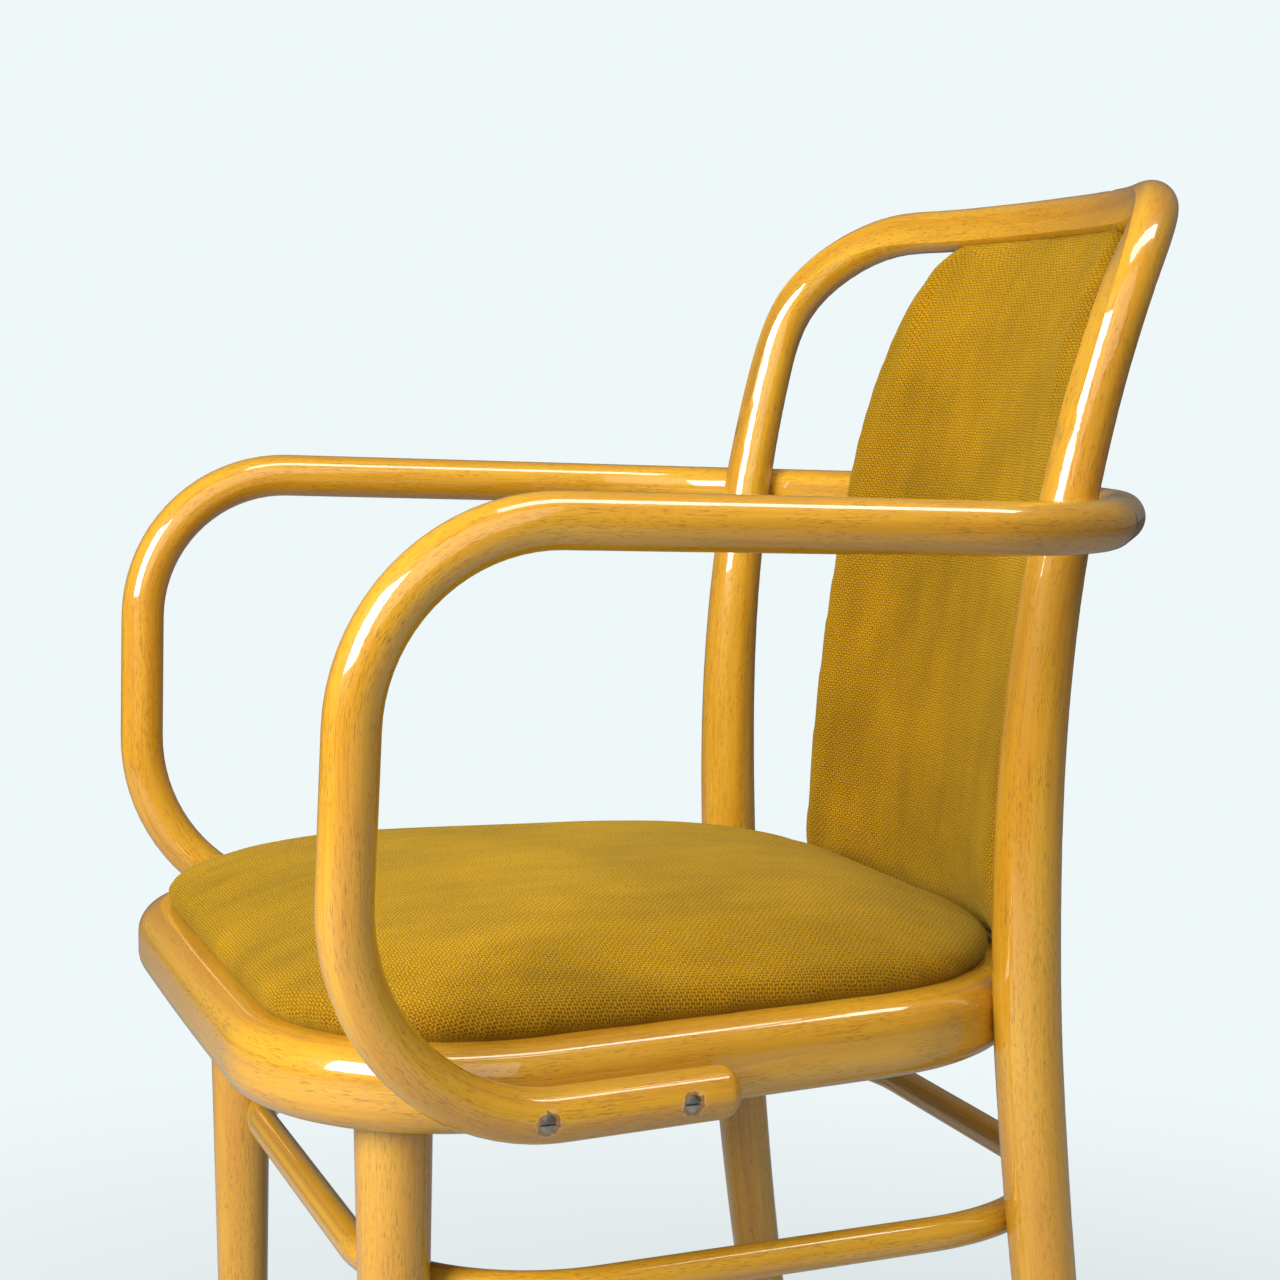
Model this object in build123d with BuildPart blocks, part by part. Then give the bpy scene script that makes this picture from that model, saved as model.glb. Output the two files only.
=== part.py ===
from build123d import *
import os
from math import acos, atan2, cos, degrees, pi, radians, sin, sqrt

# Bentwood armchair. Millimetres, +Z up, the sitter faces -Y, the sitter's left is +X.
# The origin is on the floor, at the middle of the chair's footprint.

# Seat ring: a bent bar with rounded edges, closed into a rounded trapezoid
ring_z = 402.0
ring_tall = 40.0
ring_wide = 40.0
ring_edge_round = 15.0
ring_front_y = -238.5
ring_front_half = 218.0
ring_front_bow = 2.0
ring_bow_radius = 8000.0
ring_front_radius = 92.0
ring_rear_y = 151.0
ring_rear_half = 175.5
ring_rear_radius = 118.0

# Back hoop: one bent rod for both rear legs, both posts and the top rail
hoop_foot_radius = 14.0
hoop_seat_radius = 17.0
hoop_rail_radius = 12.6
hoop_thickest_z = 430.0
hoop_straight_z = 484.0
hoop_top_z = 808.0
hoop_top_arch = 2.2
hoop_corner_radius = 67.0
hoop_arch_radius = 2000.0
hoop_foot_spread = 14.0
hoop_top_spread = 13.3
hoop_spread_power = 1.92
hoop_foot_kick = 55.0
hoop_kick_power = 1.8
hoop_lean = 57.8
hoop_lean_power = 2.21
hoop_rail_bow = 65.5
hoop_flat_deep = 2.2
hoop_flat_shallow = 0.25
hoop_stations = 60
post_turn = 38.0
post_seat_deep = 2.0

# Arm hoop: one bent rod, from one side of the seat ring round behind the posts to the other side
arm_radius = 12.6
arm_front_half = 264.5
arm_front_y = -229.8
arm_front_z = 661.0
arm_side_half = 262.0
arm_rear_z = 650.0
arm_cross_y = 228.1
arm_low_y = -238.0
arm_low_z = 394.8
arm_end_y = -46.5
arm_top_bend = 88.0
arm_low_bend = 104.0
arm_rear_bend = 130.0
arm_cross_slant = 14.0
arm_post_turn = 54.0
arm_post_seat_deep = 4.5
arm_ring_seat_deep = 1.5
arm_end_round = 8.0

# Turned front legs, with a tenon housed in the ring and in a corner block
leg_top_radius = 18.2
leg_foot_radius = 11.5
leg_turn = -38.2
leg_inset = 17.6
leg_housing = 6.0
tenon_radius = 11.0
tenon_top_gap = 2.0
block_behind_leg = 34.0
block_reach = 90.0

# Stretcher hoop, inside the four legs
stretcher_z = 297.0
stretcher_radius = 8.5
stretcher_front_radius = 90.0
stretcher_rear_radius = 115.0
stretcher_leg_turn = -51.4
stretcher_post_turn = 26.5
stretcher_seat_deep = 1.0

# Seat: plywood board in the ring's rabbet, crowned foam, cover and underlining
rabbet_deep = 8.8
rabbet_inset = 3.5
rabbet_gap = 0.5
cover_thick = 1.6
lining_thick = 0.8
seat_board_thick = 10.0
seat_crown = 53.0
crown_angles = (0, 24, 44, 61, 75, 85)

# Back: curved plywood board, crowned foam, front cover and rear cover
back_half = 123.0
back_top_half = 78.0
back_shoulder_z = 670.0
back_bow = 21.5
back_board_thick = 7.0
back_foam_thick = 14.0
back_edge_round = 10.0
back_end_thick = 7.0
back_end_reach = 26.0
back_cover_thick = 1.2
back_top_gap = 0.4
back_foam_gap = 5.0
back_tongue = 14.0
back_tongue_half = 75.0
back_stations = 12

# Feet
glide_radius = 9.0
glide_tall = 4.0
glide_nail_radius = 1.5
glide_nail_long = 14.0

# Fasteners
fit_gap = 0.05
seat_gap = 0.3
screw_radius = 2.2
screw_head_radius = 4.2
screw_head_tall = 2.4
screw_dome = 0.9
screw_slot_wide = 1.1
screw_slot_deep = 1.3
screw_recess = 0.8
screw_entry = 12.0
arm_screw_long = 38.0
arm_screw_y = (-145.0, -74.0)
rear_screw_long = 40.0
leg_screw_long = 62.0
stretcher_screw_long = 28.0
seat_screw_long = 27.0
seat_screw_inset = 10.0
seat_screw_side_y = -58.5
back_screw_long = 31.0
back_screw_half = 60.0
back_foot_screw_long = 47.0
bolt_radius = 3.9
bolt_long = 58.0
bolt_head_radius = 6.5
bolt_head_tall = 5.0
bolt_counterbore = 9.0
washer_radius = 8.0
washer_thick = 1.5
dowel_radius = 2.5
dowel_long = 26.0
dowel_half = 32.0


def smooth(share):
    """Ease from 0 to 1, level at both ends."""
    held = max(0.0, min(1.0, share))
    return held * held * (3 - 2 * held)


def heading(angle):
    """Level unit vector at an angle from +X."""
    return Vector(cos(radians(angle)), sin(radians(angle)), 0)


def mirrored(points):
    """Points on the left, then the same points reversed on the right."""
    return list(points) + [(-x, *rest) for x, *rest in reversed(points)]


def ring_side_x(y):
    """Half width of the seat ring's centre line at a place along its side."""
    share = (y - ring_front_y) / (ring_rear_y - ring_front_y)
    return ring_front_half + (ring_rear_half - ring_front_half) * share


ring_slope = (ring_rear_half - ring_front_half) / (ring_rear_y - ring_front_y)
ring_slant = sqrt(1 + ring_slope**2)
ring_side_out = Vector(1 / ring_slant, -ring_slope / ring_slant, 0)
ring_bottom_z = ring_z - ring_tall / 2
ring_top_z = ring_z + ring_tall / 2
rabbet_z = ring_top_z - rabbet_deep


def ring_outline(inset, shrink=1.0):
    """Corner points and corner radii of the ring's centre line, set in and shrunk about its middle."""
    front_y = ring_front_y + inset
    rear_y = ring_rear_y - inset
    middle_y = (ring_front_y + ring_rear_y) / 2
    corners = [
        (0, front_y - ring_front_bow),
        (ring_side_x(front_y) - inset * ring_slant, front_y),
        (ring_side_x(rear_y) - inset * ring_slant, rear_y),
        (-ring_side_x(rear_y) + inset * ring_slant, rear_y),
        (-ring_side_x(front_y) + inset * ring_slant, front_y),
    ]
    front_radius = ring_front_radius - inset
    rear_radius = ring_rear_radius - inset
    radii = [ring_bow_radius, front_radius, rear_radius, rear_radius, front_radius]
    points = [(x * shrink, middle_y + (y - middle_y) * shrink) for x, y in corners]
    return points, [radius * shrink for radius in radii]


def ring_corner(y, radius):
    """Centre of one rounded corner of the ring, on the left side."""
    return Vector(ring_side_x(y) - radius * ring_slant, y, 0)


def outline_face(inset, shrink=1.0):
    """Filled outline of the ring's centre line, set in and shrunk, on the sketch in hand."""
    points, radii = ring_outline(inset, shrink)
    with BuildLine() as outline:
        FilletPolyline(*points, radius=radii, close=True)
    make_face(outline.edges())


# Where the legs and posts stand against the ring
def hoop_radius(z):
    """Half thickness of the back hoop at a height."""
    if z < hoop_thickest_z:
        return hoop_foot_radius + (hoop_seat_radius - hoop_foot_radius) * smooth(z / hoop_thickest_z)
    share = (z - hoop_thickest_z) / (hoop_top_z - hoop_thickest_z)
    return hoop_seat_radius + (hoop_rail_radius - hoop_seat_radius) * smooth(share)


post_reach = ring_rear_radius + ring_wide / 2 + hoop_radius(ring_z) - post_seat_deep
rear_corner = ring_corner(ring_rear_y - ring_rear_radius, ring_rear_radius)
post_at_ring = rear_corner + heading(post_turn) * post_reach
leg_reach = ring_front_radius - leg_inset
front_corner = ring_corner(ring_front_y + ring_front_radius, ring_front_radius)
leg_at_ring = front_corner + heading(leg_turn) * leg_reach


def foot_kick(z):
    """How far the rear leg stands back at a height below its straightest stretch."""
    return hoop_foot_kick * (max(0.0, hoop_straight_z - z) / hoop_straight_z) ** hoop_kick_power


def back_lean(z):
    """How far the post leans back at a height above its straightest stretch."""
    rise = max(0.0, z - hoop_straight_z) / (hoop_top_z - hoop_straight_z)
    return hoop_lean * rise**hoop_lean_power


def post_x(z):
    """Half spacing of the posts at a height: they spread to the feet and flare to the top."""
    if z < ring_z:
        return post_at_ring.X + hoop_foot_spread * (ring_z - z) / ring_z
    rise = min(1.0, (z - ring_z) / (hoop_top_z - ring_z))
    return post_at_ring.X + hoop_top_spread * rise**hoop_spread_power


def post_y(z):
    """Place of the posts along Y at a height."""
    return post_at_ring.Y - foot_kick(ring_z) + foot_kick(z) + back_lean(z)


def hoop_point(flat_point):
    """Lift a point of the hoop's front view into its leaning, bowed place."""
    inward = min(1.0, abs(flat_point.X) / post_at_ring.X)
    x = flat_point.X * post_x(flat_point.Z) / post_at_ring.X
    return Vector(x, post_y(flat_point.Z) + hoop_rail_bow * (1 - inward**2), flat_point.Z)


def leg_radius(z):
    """Half thickness of a front leg at a height."""
    return leg_foot_radius + (leg_top_radius - leg_foot_radius) * z / ring_bottom_z


def meet(normal_a, reach_a, normal_b, reach_b):
    """Point where two level lines cross, each given by its normal and its distance from the origin."""
    scale = normal_a.X * normal_b.Y - normal_a.Y * normal_b.X
    x = (reach_a * normal_b.Y - reach_b * normal_a.Y) / scale
    y = (normal_a.X * reach_b - normal_b.X * reach_a) / scale
    return Vector(x, y, 0)


def wood_screw(seat, length):
    """Add a slotted raised-head wood screw; the plane is at its head's rim and points along its shank."""
    with BuildSketch(Plane(origin=seat.origin, x_dir=seat.x_dir, z_dir=-seat.y_dir)) as profile:
        with BuildLine():
            rim = (screw_head_radius, 0)
            halfway = (screw_head_radius * 0.6, -screw_dome * 0.66)
            ThreePointArc((0, -screw_dome), halfway, rim)
            Polyline(
                rim,
                (screw_radius, screw_head_tall),
                (screw_radius, length - 2 * screw_radius),
                (0, length),
                (0, -screw_dome),
            )
        make_face()
    revolve(profile.sketch, axis=Axis(seat.origin, seat.z_dir))
    with Locations(Location(seat) * Location((0, 0, -screw_dome))):
        Box(3 * screw_head_radius, screw_slot_wide, 2 * screw_slot_deep, mode=Mode.SUBTRACT)


def screw_hole(seat, length):
    """Cut the countersunk hole for a wood screw that stands on the same plane."""
    upright = (Align.CENTER, Align.CENTER, Align.MIN)
    hanging = (Align.CENTER, Align.CENTER, Align.MAX)
    with Locations(Location(seat)):
        Cylinder(screw_radius + fit_gap, length + fit_gap, align=upright, mode=Mode.SUBTRACT)
        Cone(
            screw_head_radius + fit_gap,
            screw_radius + fit_gap,
            screw_head_tall + fit_gap,
            align=upright,
            mode=Mode.SUBTRACT,
        )
        Cylinder(screw_head_radius + fit_gap, screw_entry, align=hanging, mode=Mode.SUBTRACT)


def level_plane(origin, outward):
    """Plane at a point whose normal runs inwards along a level direction, with its X level too."""
    return Plane(origin=origin, x_dir=Vector(0, 0, 1).cross(outward), z_dir=-outward)


def both_sides(origin, outward):
    """The same seat plane on the left and on the right of the chair."""
    planes = [level_plane(origin, outward)]
    other_origin = Vector(-origin.X, origin.Y, origin.Z)
    planes.append(level_plane(other_origin, Vector(-outward.X, outward.Y, outward.Z)))
    return planes


# Route of the arm hoop
post_at_arm = Vector(post_x(arm_rear_z), post_y(arm_rear_z), 0)
arm_out = heading(arm_post_turn)
arm_gap = hoop_radius(arm_rear_z) + arm_radius - arm_post_seat_deep
arm_diagonal = arm_out.dot(post_at_arm) + arm_gap
arm_side_corner = meet(Vector(1, 0, 0), arm_side_half, arm_out, arm_diagonal)
board_half_thick = back_board_thick / 2
back_bend = (back_half**2 + back_bow**2) / (2 * back_bow)
arm_behind_back = board_half_thick + back_cover_thick + seat_gap + arm_radius
arm_cross_bend = back_bend + arm_behind_back
arm_cross_out = heading(90 - arm_cross_slant)
arm_peak_y = arm_cross_y + arm_cross_bend * (1 / arm_cross_out.Y - 1)
arm_rear_corner = meet(arm_cross_out, arm_cross_out.Y * arm_peak_y, arm_out, arm_diagonal)
arm_beside_ring = (ring_wide / 2 + arm_radius - arm_ring_seat_deep) * ring_slant
arm_half_route = [
    (ring_side_x(arm_end_y) + arm_beside_ring, arm_end_y, arm_low_z),
    (ring_side_x(arm_low_y) + arm_beside_ring, arm_low_y, arm_low_z),
    (arm_front_half, arm_front_y, arm_front_z),
    (arm_side_half, arm_side_corner.Y, arm_rear_z),
    (arm_rear_corner.X, arm_rear_corner.Y, arm_rear_z),
]
arm_half_bends = [arm_low_bend, arm_top_bend, arm_rear_bend, arm_rear_bend]
arm_points = mirrored(arm_half_route)
arm_points.insert(len(arm_half_route), (0, arm_peak_y, arm_rear_z))
arm_bends = arm_half_bends + [arm_cross_bend] + arm_half_bends[::-1]

# Planes of the arm's screws, with each head sunk below the rod's surface
arm_surface = arm_radius - screw_recess
arm_side_seats = []
for screw_y in arm_screw_y:
    screw_centre = Vector(ring_side_x(screw_y) + arm_beside_ring, screw_y, arm_low_z)
    arm_side_seats += both_sides(screw_centre + ring_side_out * arm_surface, ring_side_out)
arm_post_point = post_at_arm + arm_out * (arm_gap + arm_surface) + Vector(0, 0, arm_rear_z)
arm_rear_seats = both_sides(arm_post_point, arm_out)
back_screw_out = heading(degrees(acos(back_screw_half / arm_cross_bend)))
arm_cross_centre = Vector(0, arm_cross_y - arm_cross_bend, arm_rear_z)
arm_cross_point = arm_cross_centre + back_screw_out * (arm_cross_bend + arm_surface)
arm_cross_seats = both_sides(arm_cross_point, back_screw_out)

with BuildPart() as arm_hoop:
    with BuildLine() as arm_route:
        FilletPolyline(*arm_points, radius=arm_bends)
    with BuildSketch(Plane(origin=arm_route.line @ 0, z_dir=arm_route.line % 0)):
        Circle(arm_radius)
    sweep()
    arm_ends = arm_hoop.faces().filter_by(GeomType.PLANE)
    fillet(arm_ends.edges(), arm_end_round)
    for seat in arm_side_seats:
        screw_hole(seat, arm_screw_long)
    for seat in arm_rear_seats:
        screw_hole(seat, rear_screw_long)
    for seat in arm_cross_seats:
        screw_hole(seat, back_screw_long)
arm_hoop.part.label = "arm_hoop"

# Bolts and stretcher screws that enter the rear legs
bolt_out = heading(post_turn)
bolt_face = bolt_counterbore - ring_wide / 2
bolt_point = post_at_ring - bolt_out * (hoop_radius(ring_z) - post_seat_deep + ring_wide / 2 - bolt_face)
bolt_seats = both_sides(bolt_point + Vector(0, 0, ring_z), -bolt_out)
post_at_stretcher = Vector(post_x(stretcher_z), post_y(stretcher_z), 0)
leg_at_stretcher = Vector(leg_at_ring.X, leg_at_ring.Y, 0)
stretcher_post_gap = hoop_radius(stretcher_z) + stretcher_radius - stretcher_seat_deep
stretcher_leg_gap = leg_radius(stretcher_z) + stretcher_radius - stretcher_seat_deep
stretcher_post_out = heading(stretcher_post_turn)
stretcher_leg_out = heading(stretcher_leg_turn)
stretcher_inner = stretcher_radius - screw_recess
stretcher_lift = Vector(0, 0, stretcher_z)
stretcher_post_point = post_at_stretcher - stretcher_post_out * (stretcher_post_gap + stretcher_inner)
stretcher_leg_point = leg_at_stretcher - stretcher_leg_out * (stretcher_leg_gap + stretcher_inner)
stretcher_post_seats = both_sides(stretcher_post_point + stretcher_lift, -stretcher_post_out)
stretcher_leg_seats = both_sides(stretcher_leg_point + stretcher_lift, -stretcher_leg_out)


def bolt_hole(seat):
    """Cut the counterbored hole for a bolt whose washer lies on the plane."""
    upright = (Align.CENTER, Align.CENTER, Align.MIN)
    hanging = (Align.CENTER, Align.CENTER, Align.MAX)
    with Locations(Location(seat)):
        Cylinder(bolt_radius + fit_gap, bolt_long + fit_gap, align=upright, mode=Mode.SUBTRACT)
        Cylinder(washer_radius + fit_gap, 3 * bolt_counterbore, align=hanging, mode=Mode.SUBTRACT)


# Middle of the back board: from behind the ring, past the front of the arm hoop, up to the top rail
rail_half = post_x(hoop_top_z)
rail_middle_z = hoop_top_z + hoop_top_arch
dowel_z = rail_middle_z - hoop_top_arch * dowel_half / rail_half
dowel_y = hoop_point(Vector(dowel_half * post_at_ring.X / rail_half, 0, dowel_z)).Y


def back_sag(x):
    """How far the back board bends forward at a distance from its middle."""
    return back_bend - sqrt(back_bend**2 - x**2)


back_at_ring = ring_rear_y + ring_wide / 2 + seat_gap + board_half_thick + back_sag(back_tongue_half)
back_at_arm = arm_cross_y - arm_behind_back
back_at_rail = dowel_y + back_sag(dowel_half)


def back_y(z):
    """Middle of the back board at a height, through its places at the ring, the arm hoop and the rail."""
    low = (back_at_arm - back_at_ring) / (arm_rear_z - ring_z)
    high = (back_at_rail - back_at_arm) / (dowel_z - arm_rear_z)
    bend = (high - low) / (dowel_z - ring_z)
    return back_at_ring + low * (z - ring_z) + bend * (z - ring_z) * (z - arm_rear_z)


# Dowels hang from the rail's middle and follow the slope of the board
dowel_run = Vector(0, back_y(dowel_z) - back_y(dowel_z - dowel_long), dowel_long)
dowel_tops = [(dowel_half, dowel_y, dowel_z), (-dowel_half, dowel_y, dowel_z)]
dowel_places = [Location(Plane(origin=top, x_dir=(1, 0, 0), z_dir=dowel_run)) for top in dowel_tops]

# Feet
rear_foot = Vector(post_x(glide_tall), post_y(glide_tall), glide_tall)
front_foot = Vector(leg_at_ring.X, leg_at_ring.Y, glide_tall)
feet = [rear_foot, Vector(-rear_foot.X, rear_foot.Y, glide_tall)]
feet += [front_foot, Vector(-front_foot.X, front_foot.Y, glide_tall)]


def nail_holes(places):
    """Cut the holes for the foot glides' nails."""
    with Locations(*places):
        Cylinder(
            glide_nail_radius + fit_gap,
            glide_nail_long + fit_gap,
            align=(Align.CENTER, Align.CENTER, Align.MIN),
            mode=Mode.SUBTRACT,
        )


# Spare length below the floor, cut off level at the glides
hoop_foot_spare = 4 * hoop_radius(0)
hoop_half_view = [(post_at_ring.X, -hoop_foot_spare), (post_at_ring.X, hoop_top_z)]
hoop_view_points = hoop_half_view + [(0, rail_middle_z)] + [(-x, z) for x, z in reversed(hoop_half_view)]
hoop_view_bends = [hoop_corner_radius, hoop_arch_radius, hoop_corner_radius]

with BuildPart() as back_hoop:
    with BuildLine(Plane.XZ, mode=Mode.PRIVATE) as hoop_view:
        FilletPolyline(*hoop_view_points, radius=hoop_view_bends)
    for station in range(hoop_stations + 1):
        share = station / hoop_stations
        centre = hoop_point(hoop_view.line @ share)
        ahead = hoop_point(hoop_view.line @ min(1.0, share + 0.002))
        behind = hoop_point(hoop_view.line @ max(0.0, share - 0.002))
        along = (ahead - behind).normalized()
        forward = (Vector(0, -1, 0) - along * along.dot(Vector(0, -1, 0))).normalized()
        radius = hoop_radius(centre.Z)
        above_arm = smooth((centre.Z - arm_rear_z) / hoop_corner_radius)
        flat = radius - hoop_flat_shallow - (hoop_flat_deep - hoop_flat_shallow) * above_arm
        half_turn = acos(flat / radius)
        middle_turn = (half_turn + pi) / 2
        corner = (flat, radius * sin(half_turn))
        round_middle = (radius * cos(middle_turn), radius * sin(middle_turn))
        with BuildSketch(Plane(origin=centre, x_dir=forward, z_dir=along)):
            with BuildLine():
                Line((corner[0], -corner[1]), corner)
                ThreePointArc(corner, round_middle, (-radius, 0))
                ThreePointArc((-radius, 0), (round_middle[0], -round_middle[1]), (corner[0], -corner[1]))
            make_face()
    loft()
    with Locations((0, 0, glide_tall)):
        below = (Align.CENTER, Align.CENTER, Align.MAX)
        Box(4 * ring_front_half, 4 * ring_front_half, 2 * hoop_foot_spare, align=below, mode=Mode.SUBTRACT)
    add(arm_hoop.part, mode=Mode.SUBTRACT)
    for seat in arm_rear_seats:
        screw_hole(seat, rear_screw_long)
    for seat in bolt_seats:
        bolt_hole(seat)
    for seat in stretcher_post_seats:
        screw_hole(seat, stretcher_screw_long)
    with Locations(*dowel_places):
        hanging = (Align.CENTER, Align.CENTER, Align.MAX)
        Cylinder(dowel_radius + fit_gap, dowel_long, align=hanging, mode=Mode.SUBTRACT)
    nail_holes(feet[:2])
back_hoop.part.label = "back_hoop"

# Front legs
leg_top_z = ring_bottom_z + leg_housing
tenon_top_z = rabbet_z - tenon_top_gap
leg_out = heading(leg_turn)
leg_screw_point = leg_at_ring - leg_out * (block_behind_leg - screw_recess) + Vector(0, 0, ring_z)
leg_screw_seats = both_sides(leg_screw_point, -leg_out)


def turn_leg(side):
    """Turn one front leg with its tenon; side is 1 on the left and -1 on the right."""
    centre = Vector(side * leg_at_ring.X, leg_at_ring.Y, 0)
    with BuildSketch(Plane(origin=centre, x_dir=(1, 0, 0), z_dir=(0, -1, 0))) as profile:
        with BuildLine():
            Polyline(
                (0, glide_tall),
                (leg_radius(glide_tall), glide_tall),
                (leg_radius(ring_bottom_z), ring_bottom_z),
                (leg_radius(ring_bottom_z), leg_top_z),
                (tenon_radius, leg_top_z),
                (tenon_radius, tenon_top_z),
                (0, tenon_top_z),
                (0, glide_tall),
            )
        make_face()
    revolve(profile.sketch, axis=Axis(centre, (0, 0, 1)))
    for seat in leg_screw_seats + stretcher_leg_seats:
        if seat.origin.X * side > 0:
            screw_hole(seat, leg_screw_long if seat in leg_screw_seats else stretcher_screw_long)
    nail_holes([Vector(centre.X, centre.Y, glide_tall)])


with BuildPart() as front_leg_left:
    turn_leg(1)
front_leg_left.part.label = "front_leg_left"

with BuildPart() as front_leg_right:
    turn_leg(-1)
front_leg_right.part.label = "front_leg_right"

# Screws up through the ring's lip into the seat board, and through its rear into the back board
lip_points = [
    Vector(ring_side_x(seat_screw_side_y) - seat_screw_inset, seat_screw_side_y, 0),
    Vector(-ring_side_x(seat_screw_side_y) + seat_screw_inset, seat_screw_side_y, 0),
    Vector(0, ring_front_y - ring_front_bow + seat_screw_inset, 0),
    Vector(0, ring_rear_y - seat_screw_inset, 0),
]
seat_screw_z = rabbet_z + seat_board_thick * 0.8 - seat_screw_long
seat_screw_seats = [
    Plane(origin=(point.X, point.Y, seat_screw_z), x_dir=(1, 0, 0), z_dir=(0, 0, 1)) for point in lip_points
]
back_foot_y = ring_rear_y - ring_wide / 2 + screw_recess
back_foot_seats = both_sides(Vector(back_screw_half, back_foot_y, ring_z), Vector(0, -1, 0))

with BuildPart() as seat_ring:
    ring_points, ring_radii = ring_outline(0)
    with BuildLine(Plane.XY.offset(ring_z)) as ring_line:
        FilletPolyline(*ring_points, radius=ring_radii, close=True)
    with BuildSketch(Plane(origin=ring_line.line @ 0, x_dir=(0, 0, 1), z_dir=ring_line.line % 0)):
        RectangleRounded(ring_tall, ring_wide, ring_edge_round)
    sweep()
    with BuildSketch(Plane.XY.offset(rabbet_z)):
        outline_face(rabbet_inset)
    extrude(amount=ring_tall, mode=Mode.SUBTRACT)
    add(back_hoop.part, mode=Mode.SUBTRACT)
    add(arm_hoop.part, mode=Mode.SUBTRACT)
    add(front_leg_left.part, mode=Mode.SUBTRACT)
    add(front_leg_right.part, mode=Mode.SUBTRACT)
    for seat in bolt_seats:
        bolt_hole(seat)
    for seat in arm_side_seats:
        screw_hole(seat, arm_screw_long)
    for seat in leg_screw_seats:
        screw_hole(seat, leg_screw_long)
    for seat in seat_screw_seats:
        screw_hole(seat, seat_screw_long)
    for seat in back_foot_seats:
        screw_hole(seat, back_foot_screw_long)
seat_ring.part.label = "seat_ring"


def corner_block(side):
    """Block glued inside a front corner of the ring, round the leg's tenon."""
    middle = leg_at_ring - leg_out * block_behind_leg + leg_out * (block_reach / 2)
    with BuildSketch(Plane.XY.offset(ring_bottom_z)) as outline:
        outline_face(ring_wide / 2)
        with Locations((side * middle.X, middle.Y)):
            Rectangle(block_reach, 2 * block_reach, rotation=side * leg_turn, mode=Mode.INTERSECT)
    extrude(outline.sketch, amount=rabbet_z - ring_bottom_z)
    add(front_leg_left.part if side > 0 else front_leg_right.part, mode=Mode.SUBTRACT)
    for seat in leg_screw_seats:
        screw_hole(seat, leg_screw_long)


with BuildPart() as corner_block_left:
    corner_block(1)
corner_block_left.part.label = "corner_block_left"

with BuildPart() as corner_block_right:
    corner_block(-1)
corner_block_right.part.label = "corner_block_right"

# Stretcher hoop: straight runs between arcs that touch each leg from inside
stretcher_leg_reach = stretcher_leg_gap + stretcher_front_radius
stretcher_post_reach = stretcher_post_gap + stretcher_rear_radius
stretcher_front_centre = leg_at_stretcher - stretcher_leg_out * stretcher_leg_reach
stretcher_rear_centre = post_at_stretcher - stretcher_post_out * stretcher_post_reach
centre_line = stretcher_rear_centre - stretcher_front_centre
line_turn = acos((stretcher_front_radius - stretcher_rear_radius) / centre_line.length)
side_normal = heading(degrees(atan2(centre_line.Y, centre_line.X) - line_turn))
side_reach = side_normal.dot(stretcher_front_centre) + stretcher_front_radius
stretcher_front_y = stretcher_front_centre.Y - stretcher_front_radius
stretcher_rear_y = stretcher_rear_centre.Y + stretcher_rear_radius
stretcher_front = meet(side_normal, side_reach, Vector(0, 1, 0), stretcher_front_y)
stretcher_rear = meet(side_normal, side_reach, Vector(0, 1, 0), stretcher_rear_y)
stretcher_points = [
    (0, stretcher_front_y),
    (stretcher_front.X, stretcher_front_y),
    (stretcher_rear.X, stretcher_rear_y),
    (-stretcher_rear.X, stretcher_rear_y),
    (-stretcher_front.X, stretcher_front_y),
]
stretcher_bends = [0] + [stretcher_front_radius] + [stretcher_rear_radius] * 2 + [stretcher_front_radius]

with BuildPart() as stretcher_hoop:
    with BuildLine(Plane.XY.offset(stretcher_z)) as stretcher_line:
        FilletPolyline(*stretcher_points, radius=stretcher_bends, close=True)
    with BuildSketch(Plane(origin=stretcher_line.line @ 0, z_dir=stretcher_line.line % 0)):
        Circle(stretcher_radius)
    sweep()
    add(back_hoop.part, mode=Mode.SUBTRACT)
    add(front_leg_left.part, mode=Mode.SUBTRACT)
    add(front_leg_right.part, mode=Mode.SUBTRACT)
    for seat in stretcher_post_seats + stretcher_leg_seats:
        screw_hole(seat, stretcher_screw_long)
stretcher_hoop.part.label = "stretcher_hoop"

# Seat, from the lining up
seat_inset = rabbet_inset + rabbet_gap
board_bottom_z = rabbet_z + lining_thick
board_top_z = board_bottom_z + seat_board_thick


def seat_dome(inset, crown):
    """Crowned cushion on the board: outlines that shrink towards the crown along an ellipse."""
    layers = []
    for angle in crown_angles:
        height = board_top_z + crown * sin(radians(angle))
        with BuildSketch(Plane.XY.offset(height)) as layer:
            outline_face(inset, cos(radians(angle)))
        layers.append(layer.sketch)
    loft(layers)


with BuildPart() as seat_lining:
    with BuildSketch(Plane.XY.offset(rabbet_z)):
        outline_face(seat_inset + cover_thick)
    extrude(amount=lining_thick)
    for seat in seat_screw_seats:
        screw_hole(seat, seat_screw_long)
seat_lining.part.label = "seat_lining"

with BuildPart() as seat_board:
    with BuildSketch(Plane.XY.offset(board_bottom_z)):
        outline_face(seat_inset + cover_thick)
    extrude(amount=seat_board_thick)
    for seat in seat_screw_seats:
        screw_hole(seat, seat_screw_long)
seat_board.part.label = "seat_board"

with BuildPart() as seat_foam:
    seat_dome(seat_inset + cover_thick, seat_crown - cover_thick)
seat_foam.part.label = "seat_foam"

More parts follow.
